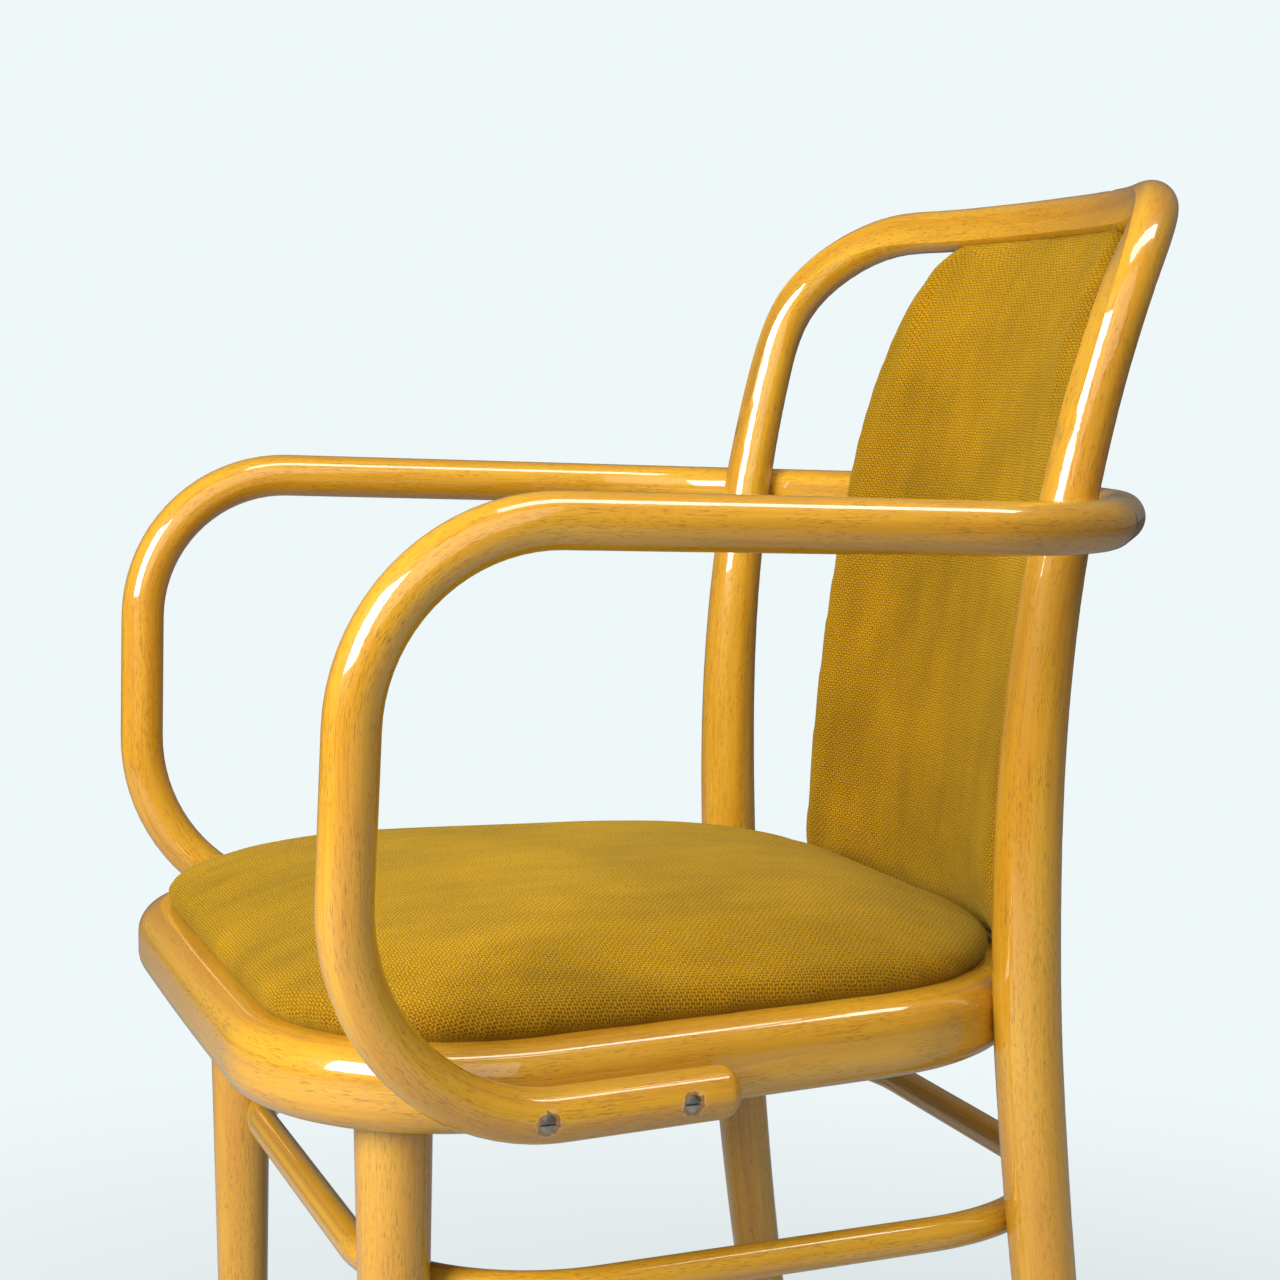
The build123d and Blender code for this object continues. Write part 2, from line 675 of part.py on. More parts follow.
with BuildPart() as seat_cover:
    with BuildSketch(Plane.XY.offset(rabbet_z)):
        outline_face(seat_inset)
    extrude(amount=lining_thick + seat_board_thick)
    seat_dome(seat_inset, seat_crown)
    with BuildSketch(Plane.XY.offset(rabbet_z)):
        outline_face(seat_inset + cover_thick)
    extrude(amount=lining_thick + seat_board_thick, mode=Mode.SUBTRACT)
    add(seat_foam.part, mode=Mode.SUBTRACT)
seat_cover.part.label = "seat_cover"

# Back: its padded part ends under the top rail, and a tongue of its board goes down behind the ring
rail_dip = hoop_top_arch * back_top_half / rail_half
back_top_z = rail_middle_z - rail_dip - hoop_rail_radius - back_top_gap
back_bottom_z = ring_top_z + back_foam_gap
tongue_bottom_z = ring_bottom_z + back_tongue


def back_width(z):
    """Half width of the back at a height: even sides, then shoulders that round in to the top."""
    rise = max(0.0, z - back_shoulder_z) / (back_top_z + 2 * back_top_gap - back_shoulder_z)
    return back_top_half + (back_half - back_top_half) * sqrt(max(0.0, 1 - rise**2))


def foam_thick(z):
    """Thickness of the back foam at a height: thinner at its two ends."""
    from_end = min(1.0, min(z - back_bottom_z, back_top_z - z) / back_end_reach)
    return back_end_thick + (back_foam_thick - back_end_thick) * sin(pi / 2 * from_end)


def back_heights(low, high):
    """Heights of the back's cross-sections, closer together towards both ends."""
    for station in range(back_stations + 1):
        yield low + (high - low) * (1 - cos(pi * station / back_stations)) / 2


def bowed_y(x, z):
    """Middle of the back board at a place across it and a height."""
    return back_y(z) - back_sag(x)


def bar_section(z, half, front, rear):
    """Cross-section of a curved sheet of a half width, between two offsets from the board's middle."""
    middle = back_y(z)
    edge = bowed_y(half, z)
    with BuildSketch(Plane.XY.offset(z)) as section:
        with BuildLine():
            ThreePointArc((-half, edge + front), (0, middle + front), (half, edge + front))
            Line((half, edge + front), (half, edge + rear))
            ThreePointArc((half, edge + rear), (0, middle + rear), (-half, edge + rear))
            Line((-half, edge + rear), (-half, edge + front))
        make_face()
    return section.sketch


def pad_section(z, rear, grow):
    """Cross-section of the padded back, from an offset behind the board's middle, grown by a cover."""
    half = back_width(z) + grow
    middle = back_y(z)
    edge = bowed_y(half, z)
    front = board_half_thick + foam_thick(z) + grow
    rim = board_half_thick
    inner = half - back_edge_round
    inner_edge = bowed_y(inner, z)
    round_x = inner + back_edge_round * cos(radians(45))
    round_y = edge - rim - (front - rim) * sin(radians(45))
    with BuildSketch(Plane.XY.offset(z)) as section:
        with BuildLine():
            ThreePointArc((half, edge + rear), (0, middle + rear), (-half, edge + rear))
            if rear > -rim:
                Line((-half, edge + rear), (-half, edge - rim))
                Line((half, edge - rim), (half, edge + rear))
            ThreePointArc((-half, edge - rim), (-round_x, round_y), (-inner, inner_edge - front))
            ThreePointArc((-inner, inner_edge - front), (0, middle - front), (inner, inner_edge - front))
            ThreePointArc((inner, inner_edge - front), (round_x, round_y), (half, edge - rim))
        make_face()
    return section.sketch


pad_heights = list(back_heights(back_bottom_z, back_top_z))

with BuildPart() as back_board:
    faces = (-board_half_thick, board_half_thick)
    loft([bar_section(height, back_width(height), *faces) for height in pad_heights])
    tongue_heights = (tongue_bottom_z, (tongue_bottom_z + back_bottom_z) / 2, back_bottom_z)
    loft([bar_section(height, back_tongue_half, *faces) for height in tongue_heights])
    add(seat_ring.part, mode=Mode.SUBTRACT)
    for seat in arm_cross_seats:
        screw_hole(seat, back_screw_long)
    for seat in back_foot_seats:
        screw_hole(seat, back_foot_screw_long)
    with Locations(*dowel_places):
        hanging = (Align.CENTER, Align.CENTER, Align.MAX)
        Cylinder(dowel_radius + fit_gap, dowel_long + fit_gap, align=hanging, mode=Mode.SUBTRACT)
back_board.part.label = "back_board"

with BuildPart() as back_foam:
    loft([pad_section(height, -board_half_thick, 0) for height in pad_heights])
back_foam.part.label = "back_foam"

with BuildPart() as back_cover:
    cover_rear = board_half_thick - fit_gap
    loft([pad_section(height, cover_rear, back_cover_thick) for height in pad_heights])
    loft([pad_section(height, back_board_thick, fit_gap) for height in pad_heights], mode=Mode.SUBTRACT)
back_cover.part.label = "back_cover"

with BuildPart() as back_rear_cover:
    faces = (board_half_thick, board_half_thick + back_cover_thick)
    loft([bar_section(height, back_width(height) + back_cover_thick, *faces) for height in pad_heights])
    for seat in arm_cross_seats:
        screw_hole(seat, back_screw_long)
back_rear_cover.part.label = "back_rear_cover"

# Fasteners, each kind a group of separate pieces
with BuildPart() as arm_side_screws:
    for seat in arm_side_seats:
        wood_screw(seat, arm_screw_long)
arm_side_screws.part.label = "arm_side_screws"

with BuildPart() as arm_rear_screws:
    for seat in arm_rear_seats:
        wood_screw(seat, rear_screw_long)
arm_rear_screws.part.label = "arm_rear_screws"

with BuildPart() as back_arm_screws:
    for seat in arm_cross_seats:
        wood_screw(seat, back_screw_long)
back_arm_screws.part.label = "back_arm_screws"

with BuildPart() as back_foot_screws:
    for seat in back_foot_seats:
        wood_screw(seat, back_foot_screw_long)
back_foot_screws.part.label = "back_foot_screws"

with BuildPart() as leg_screws:
    for seat in leg_screw_seats:
        wood_screw(seat, leg_screw_long)
leg_screws.part.label = "leg_screws"

with BuildPart() as stretcher_screws:
    for seat in stretcher_post_seats + stretcher_leg_seats:
        wood_screw(seat, stretcher_screw_long)
stretcher_screws.part.label = "stretcher_screws"

with BuildPart() as seat_screws:
    for seat in seat_screw_seats:
        wood_screw(seat, seat_screw_long)
seat_screws.part.label = "seat_screws"

with BuildPart() as post_bolts:
    with Locations(*[Location(seat) for seat in bolt_seats]):
        Cylinder(bolt_radius, bolt_long, align=(Align.CENTER, Align.CENTER, Align.MIN))
        Cylinder(bolt_radius, washer_thick, align=(Align.CENTER, Align.CENTER, Align.MAX))
    with BuildSketch(*[seat.offset(-washer_thick) for seat in bolt_seats]):
        RegularPolygon(bolt_head_radius, 6)
    extrude(amount=-bolt_head_tall)
post_bolts.part.label = "post_bolts"

with BuildPart() as post_washers:
    with Locations(*[Location(seat) for seat in bolt_seats]):
        Cylinder(washer_radius, washer_thick, align=(Align.CENTER, Align.CENTER, Align.MAX))
        hole_long = 3 * washer_thick
        Cylinder(bolt_radius + fit_gap, hole_long, mode=Mode.SUBTRACT)
post_washers.part.label = "post_washers"

with BuildPart() as back_top_dowels:
    with Locations(*dowel_places):
        Cylinder(dowel_radius, dowel_long, align=(Align.CENTER, Align.CENTER, Align.MAX))
back_top_dowels.part.label = "back_top_dowels"

with BuildPart() as foot_glides:
    with Locations(*feet):
        Cylinder(glide_radius, glide_tall, align=(Align.CENTER, Align.CENTER, Align.MAX))
        Cylinder(glide_nail_radius, glide_nail_long, align=(Align.CENTER, Align.CENTER, Align.MIN))
foot_glides.part.label = "foot_glides"

os.makedirs("parts", exist_ok=True)
export_step(seat_ring.part, "parts/seat_ring.step")
export_step(corner_block_left.part, "parts/corner_block_left.step")
export_step(corner_block_right.part, "parts/corner_block_right.step")
export_step(front_leg_left.part, "parts/front_leg_left.step")
export_step(front_leg_right.part, "parts/front_leg_right.step")
export_step(back_hoop.part, "parts/back_hoop.step")
export_step(arm_hoop.part, "parts/arm_hoop.step")
export_step(stretcher_hoop.part, "parts/stretcher_hoop.step")
export_step(seat_lining.part, "parts/seat_lining.step")
export_step(seat_board.part, "parts/seat_board.step")
export_step(seat_foam.part, "parts/seat_foam.step")
export_step(seat_cover.part, "parts/seat_cover.step")
export_step(back_board.part, "parts/back_board.step")
export_step(back_foam.part, "parts/back_foam.step")
export_step(back_cover.part, "parts/back_cover.step")
export_step(back_rear_cover.part, "parts/back_rear_cover.step")
export_step(arm_side_screws.part, "parts/arm_side_screws.step")
export_step(arm_rear_screws.part, "parts/arm_rear_screws.step")
export_step(back_arm_screws.part, "parts/back_arm_screws.step")
export_step(back_foot_screws.part, "parts/back_foot_screws.step")
export_step(leg_screws.part, "parts/leg_screws.step")
export_step(stretcher_screws.part, "parts/stretcher_screws.step")
export_step(seat_screws.part, "parts/seat_screws.step")
export_step(post_bolts.part, "parts/post_bolts.step")
export_step(post_washers.part, "parts/post_washers.step")
export_step(back_top_dowels.part, "parts/back_top_dowels.step")
export_step(foot_glides.part, "parts/foot_glides.step")
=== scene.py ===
"""Bentwood armchair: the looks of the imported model, laid out as a Blender add-on."""
from math import cos, pi, radians, sin, sqrt, tan

import bmesh
import bpy
import numpy as np
from bpy.props import FloatProperty, FloatVectorProperty, PointerProperty
from mathutils import Matrix, Vector


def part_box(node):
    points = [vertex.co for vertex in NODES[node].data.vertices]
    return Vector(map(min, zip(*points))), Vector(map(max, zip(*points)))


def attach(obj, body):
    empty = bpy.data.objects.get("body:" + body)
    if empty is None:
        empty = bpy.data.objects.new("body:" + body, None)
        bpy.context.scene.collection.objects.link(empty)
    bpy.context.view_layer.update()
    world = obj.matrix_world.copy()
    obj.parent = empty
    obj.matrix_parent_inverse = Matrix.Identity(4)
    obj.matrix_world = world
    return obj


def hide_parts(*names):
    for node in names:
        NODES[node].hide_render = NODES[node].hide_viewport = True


bl_info = {
    "name": "Bentwood Armchair",
    "version": (1, 0, 0),
    "blender": (4, 5, 0),
    "location": "View3D > Sidebar > Armchair",
    "description": "Dresses the bentwood armchair: beech rods, screws, woven pads and the studio",
    "category": "Object",
}

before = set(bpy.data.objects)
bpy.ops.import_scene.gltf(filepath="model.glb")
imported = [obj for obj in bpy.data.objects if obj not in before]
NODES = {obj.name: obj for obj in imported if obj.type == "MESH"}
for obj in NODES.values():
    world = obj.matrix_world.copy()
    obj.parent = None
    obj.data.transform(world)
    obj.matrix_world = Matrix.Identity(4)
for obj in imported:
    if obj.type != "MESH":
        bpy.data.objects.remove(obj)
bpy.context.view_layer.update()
MM = 0.001

# Camera of the photo: its place in metres, and its yaw, pitch and roll in degrees
CAMERA_PLACE = (1.2388, -0.4767, 0.714)
CAMERA_ANGLES = (20.742, -5.875, 0.388)

# Courses of the bent rods in metres, which the grain follows
HOOP_STRAIGHT = 0.484
HOOP_FOOT_SPREAD = 0.014
HOOP_FOOT_KICK = 0.055
HOOP_LEAN = 0.0578
HOOP_KICK_POWER, HOOP_FLARE_POWER, HOOP_LEAN_POWER = 1.8, 1.92, 2.21
ARM_BESIDE_RING = 0.0313
ARM_SIDE_SHORT = 0.1108
ARM_REAR_HALF, ARM_REAR_SHORT, ARM_REAR_BOW = 0.1424, 0.0239, 0.0116
ARM_BENDS, ARM_REAR_BEND = [0.104, 0.088, 0.130, 0.130], 0.38
STRETCHER_RADIUS, STRETCHER_Z = 0.0085, 0.297
STRETCHER_FRONT_HALF, STRETCHER_REAR_HALF = 0.197, 0.178
STRETCHER_FRONT_BEND, STRETCHER_REAR_BEND = 0.09, 0.115

# Seat pad before the cloth swells: its edge, its lip and the section of its dome
PAD_OVERHANG = 0.009
PAD_TUCK = 0.962
PAD_LIP = 0.003
PAD_SWELL_ROOM = 0.0195
PAD_FULLNESS = 0.88
PAD_STEPS = 14

# Back pad before the cloth swells: its edges, its ends and its thickness from the board's middle
BACK_EDGE_ROOM = 0.0034
BACK_REAR = 0.0050
BACK_EDGE_ROUND = 0.011
BACK_EDGE_THICK = 0.0035
BACK_END_THICK, BACK_SWELL, BACK_END_REACH = 0.0117, 0.0072, 0.026
BACK_LEVELS, BACK_ACROSS = 36, 28

# Cloth frames, the angle above which an edge stays crisp, and the least spacing of two screws
CLOTH_FRAMES = 20
CRISP_ANGLE = 32
SCREW_APART = 0.068

SURFACE_OUTPUTS = [
    ("Colour", "NodeSocketColor"),
    ("Roughness", "NodeSocketFloat"),
    ("Height", "NodeSocketFloat"),
]


def tone(name, description, default):
    """A colour that a user would change, in linear light."""
    return FloatVectorProperty(
        name=name, description=description, subtype="COLOR", size=3, min=0, max=1, default=default
    )


def length(name, description, millimetres):
    """A length in metres, given in millimetres."""
    return FloatProperty(
        name=name, description=description, subtype="DISTANCE", unit="LENGTH", default=millimetres * MM
    )


class ChairShape(bpy.types.PropertyGroup):
    """Sizes of the chair that the grain and the pads follow."""

    ring_z: length("Ring height", "Middle of the seat ring above the floor", 402)
    ring_front: length("Ring front", "Middle of the ring's front bar along Y", -238.5)
    ring_front_bow: length("Ring front bow", "How far the front bar bows forward", 2)
    ring_front_half: length("Ring front half width", "Half width of the ring at its front corners", 218)
    ring_rear: length("Ring rear", "Middle of the ring's rear bar along Y", 151)
    ring_rear_half: length("Ring rear half width", "Half width of the ring at its rear corners", 175.5)
    ring_front_bend: length("Ring front bend", "Radius of the ring's front corners", 92)
    ring_rear_bend: length("Ring rear bend", "Radius of the ring's rear corners", 118)
    arm_half: length("Arm half width", "Half width over the middles of the armrests", 262)
    arm_front: length("Arm front", "Front of the arm hoop along Y", -233.5)
    arm_front_z: length("Arm front height", "Height of the armrest at its front", 661)
    arm_rear_z: length("Arm rear height", "Height of the arm hoop behind the posts", 650)
    arm_rear: length("Arm rear", "Where the arm hoop crosses behind the back", 228.1)
    arm_low_z: length("Arm low height", "Height of the arm hoop beside the seat ring", 394.8)
    arm_end: length("Arm end", "Where the arm hoop ends along Y", -46.5)
    post_half: length("Post half spacing", "Half spacing of the posts at the seat ring", 190.2)
    post_y: length("Post place", "Place of the posts along Y where they are straightest", 124.9)
    post_flare: length("Post flare", "How far each post flares out at the top rail", 13.3)
    hoop_top: length("Hoop top", "Height of the top rail", 809.85)
    hoop_bend: length("Hoop bend", "Radius of the bends beside the top rail", 67)
    rail_bow: length("Rail bow", "How far the top rail bows back", 65.5)
    pad_inset: length("Pad inset", "How far the seat pad's edge lies inside the ring's middle", 4)
    pad_base: length("Pad base", "Height of the seat pad's underside", 414.2)
    pad_rim: length("Pad rim", "Height where the seat pad's dome begins", 424)
    pad_crown: length("Pad crown", "Rise of the seat pad's dome", 53)
    back_ring: length("Back at the ring", "Middle of the back board at the seat ring along Y", 182.6)
    back_arm: length("Back at the arm", "Middle of the back board at the arm hoop along Y", 210.5)
    back_rail: length("Back at the rail", "Middle of the back board at the top rail along Y", 248.75)
    back_low: length("Back low end", "Height of the back pad's bottom", 418.5)
    back_high: length("Back high end", "Height of the back pad's top", 800.5)
    back_half: length("Back half width", "Half width of the back board", 123)
    back_top_half: length("Back top half width", "Half width of the back board's flat top", 78)
    back_shoulder: length("Back shoulder", "Height where the back's shoulders begin", 670)
    back_bow: length("Back bow", "How far the back's sides bend forward", 21.5)


class BeechFinish(bpy.types.PropertyGroup):
    """Colours of the lacquered beech."""

    light: tone("Light wood", "Pale honey of the wood", (0.54, 0.285, 0.019))
    deep: tone("Deep wood", "Darker streaks of the wood", (0.45, 0.202, 0.010))
    fleck: tone("Fleck", "Short dark flecks of beech", (0.16, 0.058, 0.006))
    bare: tone("Bare wood", "Wood where the lacquer is rubbed off", (0.55, 0.40, 0.22))


class ClothFinish(bpy.types.PropertyGroup):
    """Colours of the woven covers."""

    pile: tone("Pile", "Mustard of the pile", (0.46, 0.262, 0.004))
    shade: tone("Shade", "Dark between the ribs", (0.14, 0.058, 0.001))
    sheen: tone("Sheen", "Sheen at a low angle", (0.95, 0.74, 0.17))
    rib: length("Rib", "Spacing of the ribs", 1.5)
    loop: length("Loop", "Spacing of the loops along a rib", 1.9)


class StudioSetup(bpy.types.PropertyGroup):
    """Camera, background and light."""

    lens: FloatProperty(
        name="Lens", description="Focal length in millimetres", default=69.165, unit="CAMERA"
    )
    backdrop: tone("Backdrop", "Colour of the studio behind the chair", (0.86, 0.93, 0.945))
    key: FloatProperty(name="Key", description="Power of the main soft light in watts", default=92.0)
    top: FloatProperty(name="Top", description="Power of the overhead soft light in watts", default=30.0)
    fill: FloatProperty(name="Fill", description="Power of the fill light in watts", default=26.0)
    world: FloatProperty(name="World", description="Strength of the even light all round", default=0.14)


def make(tree, kind, inputs=None, **settings):
    """Add a node, set its options, and set or wire its inputs."""
    added = tree.nodes.new(kind)
    for key, value in settings.items():
        setattr(added, key, value)
    for key, value in (inputs or {}).items():
        if isinstance(value, bpy.types.NodeSocket):
            tree.links.new(value, added.inputs[key])
        else:
            added.inputs[key].default_value = value
    return added


def maths(tree, operation, first, second=0.0, clamp=False):
    """Output of a Math node."""
    inputs = {0: first, 1: second}
    return make(tree, "ShaderNodeMath", inputs, operation=operation, use_clamp=clamp).outputs[0]


def mixed(tree, share, first, second, blend="MIX"):
    """Output of a colour Mix node."""
    inputs = {0: share, 6: first, 7: second}
    return make(tree, "ShaderNodeMix", inputs, data_type="RGBA", blend_type=blend).outputs[2]


def vector_maths(tree, operation, first, second):
    """Vector output of a Vector Math node."""
    return make(tree, "ShaderNodeVectorMath", {0: first, 1: second}, operation=operation).outputs[0]


def stretched(tree, vector, scale):
    """A vector scaled along each axis."""
    return vector_maths(tree, "MULTIPLY", vector, scale)


def noise(tree, vector, scale, detail=2.0, roughness=0.5):
    """Value of a noise texture."""
    inputs = {"Vector": vector, "Scale": scale, "Detail": detail, "Roughness": roughness}
    return make(tree, "ShaderNodeTexNoise", inputs).outputs[0]


def ranged(tree, value, low, high, to_low=0.0, to_high=1.0):
    """A value eased from one range to another, held at both ends."""
    inputs = {0: value, 1: low, 2: high, 3: to_low, 4: to_high}
    return make(tree, "ShaderNodeMapRange", inputs, interpolation_type="SMOOTHSTEP").outputs[0]


def new_group(name, inputs, outputs, tree_type="ShaderNodeTree"):
    """Start a node group with named sockets; returns its tree, input node and output node."""
    tree = bpy.data.node_groups.new(name, tree_type)
    for label, kind, default in inputs:
        socket = tree.interface.new_socket(label, in_out="INPUT", socket_type=kind)
        if default is not None:
            socket.default_value = default
    for label, kind in outputs:
        tree.interface.new_socket(label, in_out="OUTPUT", socket_type=kind)
    return tree, tree.nodes.new("NodeGroupInput"), tree.nodes.new("NodeGroupOutput")


def beech_group():
    """Grain of beech: streaks, bands and short flecks along the wood."""
    inputs = [
        ("Grain", "NodeSocketVector", None),
        ("Light", "NodeSocketColor", (0.8, 0.5, 0.1, 1)),
        ("Deep", "NodeSocketColor", (0.6, 0.3, 0.05, 1)),
        ("Fleck", "NodeSocketColor", (0.3, 0.12, 0.02, 1)),
        ("Fleck strength", "NodeSocketFloat", 0.5),
    ]
    tree, start, end = new_group("Beech grain", inputs, SURFACE_OUTPUTS)
    grain = start.outputs["Grain"]
    streak = noise(tree, stretched(tree, grain, (3.5, 120, 120)), 1.0, 5.0, 0.62)
    band = noise(tree, stretched(tree, grain, (5, 26, 26)), 1.0, 2.0)
    line = noise(tree, stretched(tree, grain, (24, 900, 900)), 1.0, 2.0)
    dash = noise(tree, stretched(tree, grain, (210, 1900, 1900)), 1.0, 1.0)
    crowd = noise(tree, stretched(tree, grain, (26, 120, 120)), 1.0, 1.0)
    mostly_streak = maths(tree, "MULTIPLY", streak, 0.7)
    some_band = maths(tree, "MULTIPLY", band, 0.3)
    tint = ranged(tree, maths(tree, "ADD", mostly_streak, some_band), 0.36, 0.66)
    wood = mixed(tree, tint, start.outputs["Light"], start.outputs["Deep"])
    thread = maths(tree, "MULTIPLY", ranged(tree, line, 0.55, 0.75), 0.28)
    wood = mixed(tree, thread, wood, start.outputs["Deep"], "MULTIPLY")
    dashes = maths(tree, "MULTIPLY", ranged(tree, dash, 0.56, 0.66), ranged(tree, crowd, 0.30, 0.56))
    fleck = maths(tree, "MULTIPLY", dashes, start.outputs["Fleck strength"])
    wood = mixed(tree, fleck, wood, start.outputs["Fleck"])
    tree.links.new(wood, end.inputs["Colour"])
    tree.links.new(ranged(tree, band, 0.3, 0.7, 0.24, 0.36), end.inputs["Roughness"])
    relief = maths(tree, "MULTIPLY", streak, 0.25)
    tree.links.new(maths(tree, "SUBTRACT", relief, dashes), end.inputs["Height"])
    return tree


def rub_group():
    """Mask of small rubs and scuffs, long along the wood and scattered by a broad noise."""
    inputs = [
        ("Grain", "NodeSocketVector", None),
        ("Place", "NodeSocketVector", None),
        ("Amount", "NodeSocketFloat", 0.5),
    ]
    tree, start, end = new_group("Rubbed wear", inputs, [("Mask", "NodeSocketFloat")])
    scuff = noise(tree, stretched(tree, start.outputs["Grain"], (90, 340, 340)), 1.0, 5.0, 0.7)
    broad = noise(tree, start.outputs["Place"], 9.0, 2.0)
    edge = maths(tree, "SUBTRACT", 0.80, maths(tree, "MULTIPLY", start.outputs["Amount"], 0.16))
    full = maths(tree, "ADD", edge, 0.05)
    marks = make(tree, "ShaderNodeMapRange", {0: scuff, 1: edge, 2: full}).outputs[0]
    tree.links.new(maths(tree, "MULTIPLY", marks, ranged(tree, broad, 0.42, 0.6), True), end.inputs["Mask"])
    return tree


def pile_group():
    """Ribbed pile: rows of loops, uneven in height and tone, with broad patches where the pile leans."""
    inputs = [
        ("Weave", "NodeSocketVector", None),
        ("Pile", "NodeSocketColor", (0.4, 0.25, 0.02, 1)),
        ("Shade", "NodeSocketColor", (0.2, 0.1, 0.01, 1)),
        ("Rib", "NodeSocketFloat", 0.0019),
        ("Loop", "NodeSocketFloat", 0.0023),
    ]
    tree, start, end = new_group("Ribbed pile", inputs, SURFACE_OUTPUTS)
    weave = start.outputs["Weave"]
    wobble = make(tree, "ShaderNodeTexNoise", {"Vector": weave, "Scale": 160.0, "Detail": 2.0}).outputs[1]
    centred = vector_maths(tree, "SUBTRACT", wobble, (0.5, 0.5, 0.5))
    moved = vector_maths(tree, "ADD", weave, stretched(tree, centred, (0.0022,) * 3))
    split = make(tree, "ShaderNodeSeparateXYZ", {0: moved})
    along = maths(tree, "DIVIDE", maths(tree, "MULTIPLY", split.outputs[0], 2 * pi), start.outputs["Loop"])
    across = maths(tree, "DIVIDE", maths(tree, "MULTIPLY", split.outputs[1], 2 * pi), start.outputs["Rib"])
    half_along = maths(tree, "MULTIPLY", along, 0.5)
    weft_wave = maths(tree, "SINE", maths(tree, "MULTIPLY", across, 0.5))
    weft = maths(tree, "ABSOLUTE", weft_wave)
    warp = maths(tree, "ABSOLUTE", maths(tree, "SINE", half_along))
    crossing = maths(tree, "SINE", maths(tree, "ADD", half_along, pi / 2))
    over = ranged(tree, maths(tree, "MULTIPLY", crossing, weft_wave), -0.35, 0.35)
    fuzz = noise(tree, weave, 1300.0, 2.0, 0.6)
    weft = maths(tree, "MULTIPLY", weft, maths(tree, "ADD", maths(tree, "MULTIPLY", over, 0.55), 0.45))
    warp = maths(tree, "MULTIPLY", warp, maths(tree, "SUBTRACT", 0.9, maths(tree, "MULTIPLY", over, 0.5)))
    height = maths(tree, "MULTIPLY", maths(tree, "MAXIMUM", weft, warp), 0.75)
    height = maths(tree, "ADD", height, maths(tree, "MULTIPLY", maths(tree, "SUBTRACT", fuzz, 0.5), 0.95))
    nap_and_painted_shade = noise(tree, weave, 9.0, 3.0, 0.55)
    brushed_and_painted_shade = noise(tree, stretched(tree, weave, (60, 14, 14)), 1.0, 3.0)
    share = ranged(tree, height, 0.15, 0.80)
    cloth = mixed(tree, share, start.outputs["Shade"], start.outputs["Pile"])
    patches = ranged(tree, nap_and_painted_shade, 0.3, 0.7, 0.82, 1.12)
    lean = maths(tree, "ADD", patches, ranged(tree, brushed_and_painted_shade, 0.3, 0.7, -0.07, 0.07))
    grey = make(tree, "ShaderNodeCombineColor", {0: lean, 1: lean, 2: lean}).outputs[0]
    cloth = mixed(tree, 1.0, cloth, grey, "MULTIPLY")
    tree.links.new(cloth, end.inputs["Colour"])
    tree.links.new(ranged(tree, nap_and_painted_shade, 0.3, 0.7, 0.78, 0.92), end.inputs["Roughness"])
    tree.links.new(height, end.inputs["Height"])
    return tree


def staple_group():
    """Geometry nodes: a row of short flat staples along a loop of edges, each a little askew."""
    sockets = [
        ("Geometry", "NodeSocketGeometry", None),
        ("Count", "NodeSocketInt", 40),
        ("Length", "NodeSocketFloat", 0.010),
        ("Wire", "NodeSocketFloat", 0.001),
        ("Askew", "NodeSocketFloat", 0.2),
        ("Seed", "NodeSocketInt", 7),
        ("Material", "NodeSocketMaterial", None),
    ]
    outputs = [("Geometry", "NodeSocketGeometry")]
    tree, start, end = new_group("Staple row", sockets, outputs, "GeometryNodeTree")
    start = start.outputs
    curve = make(tree, "GeometryNodeMeshToCurve", {0: start["Geometry"]}).outputs[0]
    spaced = make(tree, "GeometryNodeResampleCurve", {"Curve": curve, "Count": start["Count"]}).outputs[0]
    flat = maths(tree, "MULTIPLY", start["Wire"], 0.5)
    size = make(tree, "ShaderNodeCombineXYZ", {0: start["Length"], 1: start["Wire"], 2: flat}).outputs[0]
    staple = make(tree, "GeometryNodeMeshCube", {"Size": size}).outputs["Mesh"]
    tangent = make(tree, "GeometryNodeInputTangent").outputs[0]
    along = make(tree, "FunctionNodeAlignRotationToVector", {"Vector": tangent}, axis="X").outputs[0]
    low = maths(tree, "MULTIPLY", start["Askew"], -1.0)
    limits = {2: low, 3: start["Askew"], "Seed": start["Seed"]}
    spin = make(tree, "FunctionNodeRandomValue", limits, data_type="FLOAT").outputs[1]
    euler = make(tree, "ShaderNodeCombineXYZ", {2: spin}).outputs[0]
    askew = make(tree, "FunctionNodeEulerToRotation", {0: euler}).outputs[0]
    turns = {0: along, 1: askew}
    turned = make(tree, "FunctionNodeRotateRotation", turns, rotation_space="LOCAL").outputs[0]
    places = {"Points": spaced, "Instance": staple, "Rotation": turned}
    row = make(tree, "GeometryNodeInstanceOnPoints", places).outputs[0]
    real = make(tree, "GeometryNodeRealizeInstances", {0: row}).outputs[0]
    finish = {"Geometry": real, "Material": start["Material"]}
    done = make(tree, "GeometryNodeSetMaterial", finish).outputs[0]
    tree.links.new(done, end.inputs[0])
    return tree


def placed(tree, group, inputs):
    """Put a node group into a material."""
    return make(tree, "ShaderNodeGroup", inputs, node_tree=bpy.data.node_groups[group])


def fresh_material(name):
    """Empty material with an output node."""
    material = bpy.data.materials.new(name)
    material.use_nodes = True
    material.node_tree.nodes.clear()
    return material, material.node_tree, material.node_tree.nodes.new("ShaderNodeOutputMaterial")


def bumped(tree, height, strength, distance):
    """Normal of a Bump node."""
    inputs = {"Height": height, "Strength": strength, "Distance": distance}
    return make(tree, "ShaderNodeBump", inputs).outputs[0]


def wire_shader(tree, output, inputs):
    """Put a Principled shader at the end of a material."""
    shader = make(tree, "ShaderNodeBsdfPrincipled", inputs)
    tree.links.new(shader.outputs[0], output.inputs["Surface"])


def four(colour):
    """A colour property as RGBA."""
    return (*colour, 1.0)


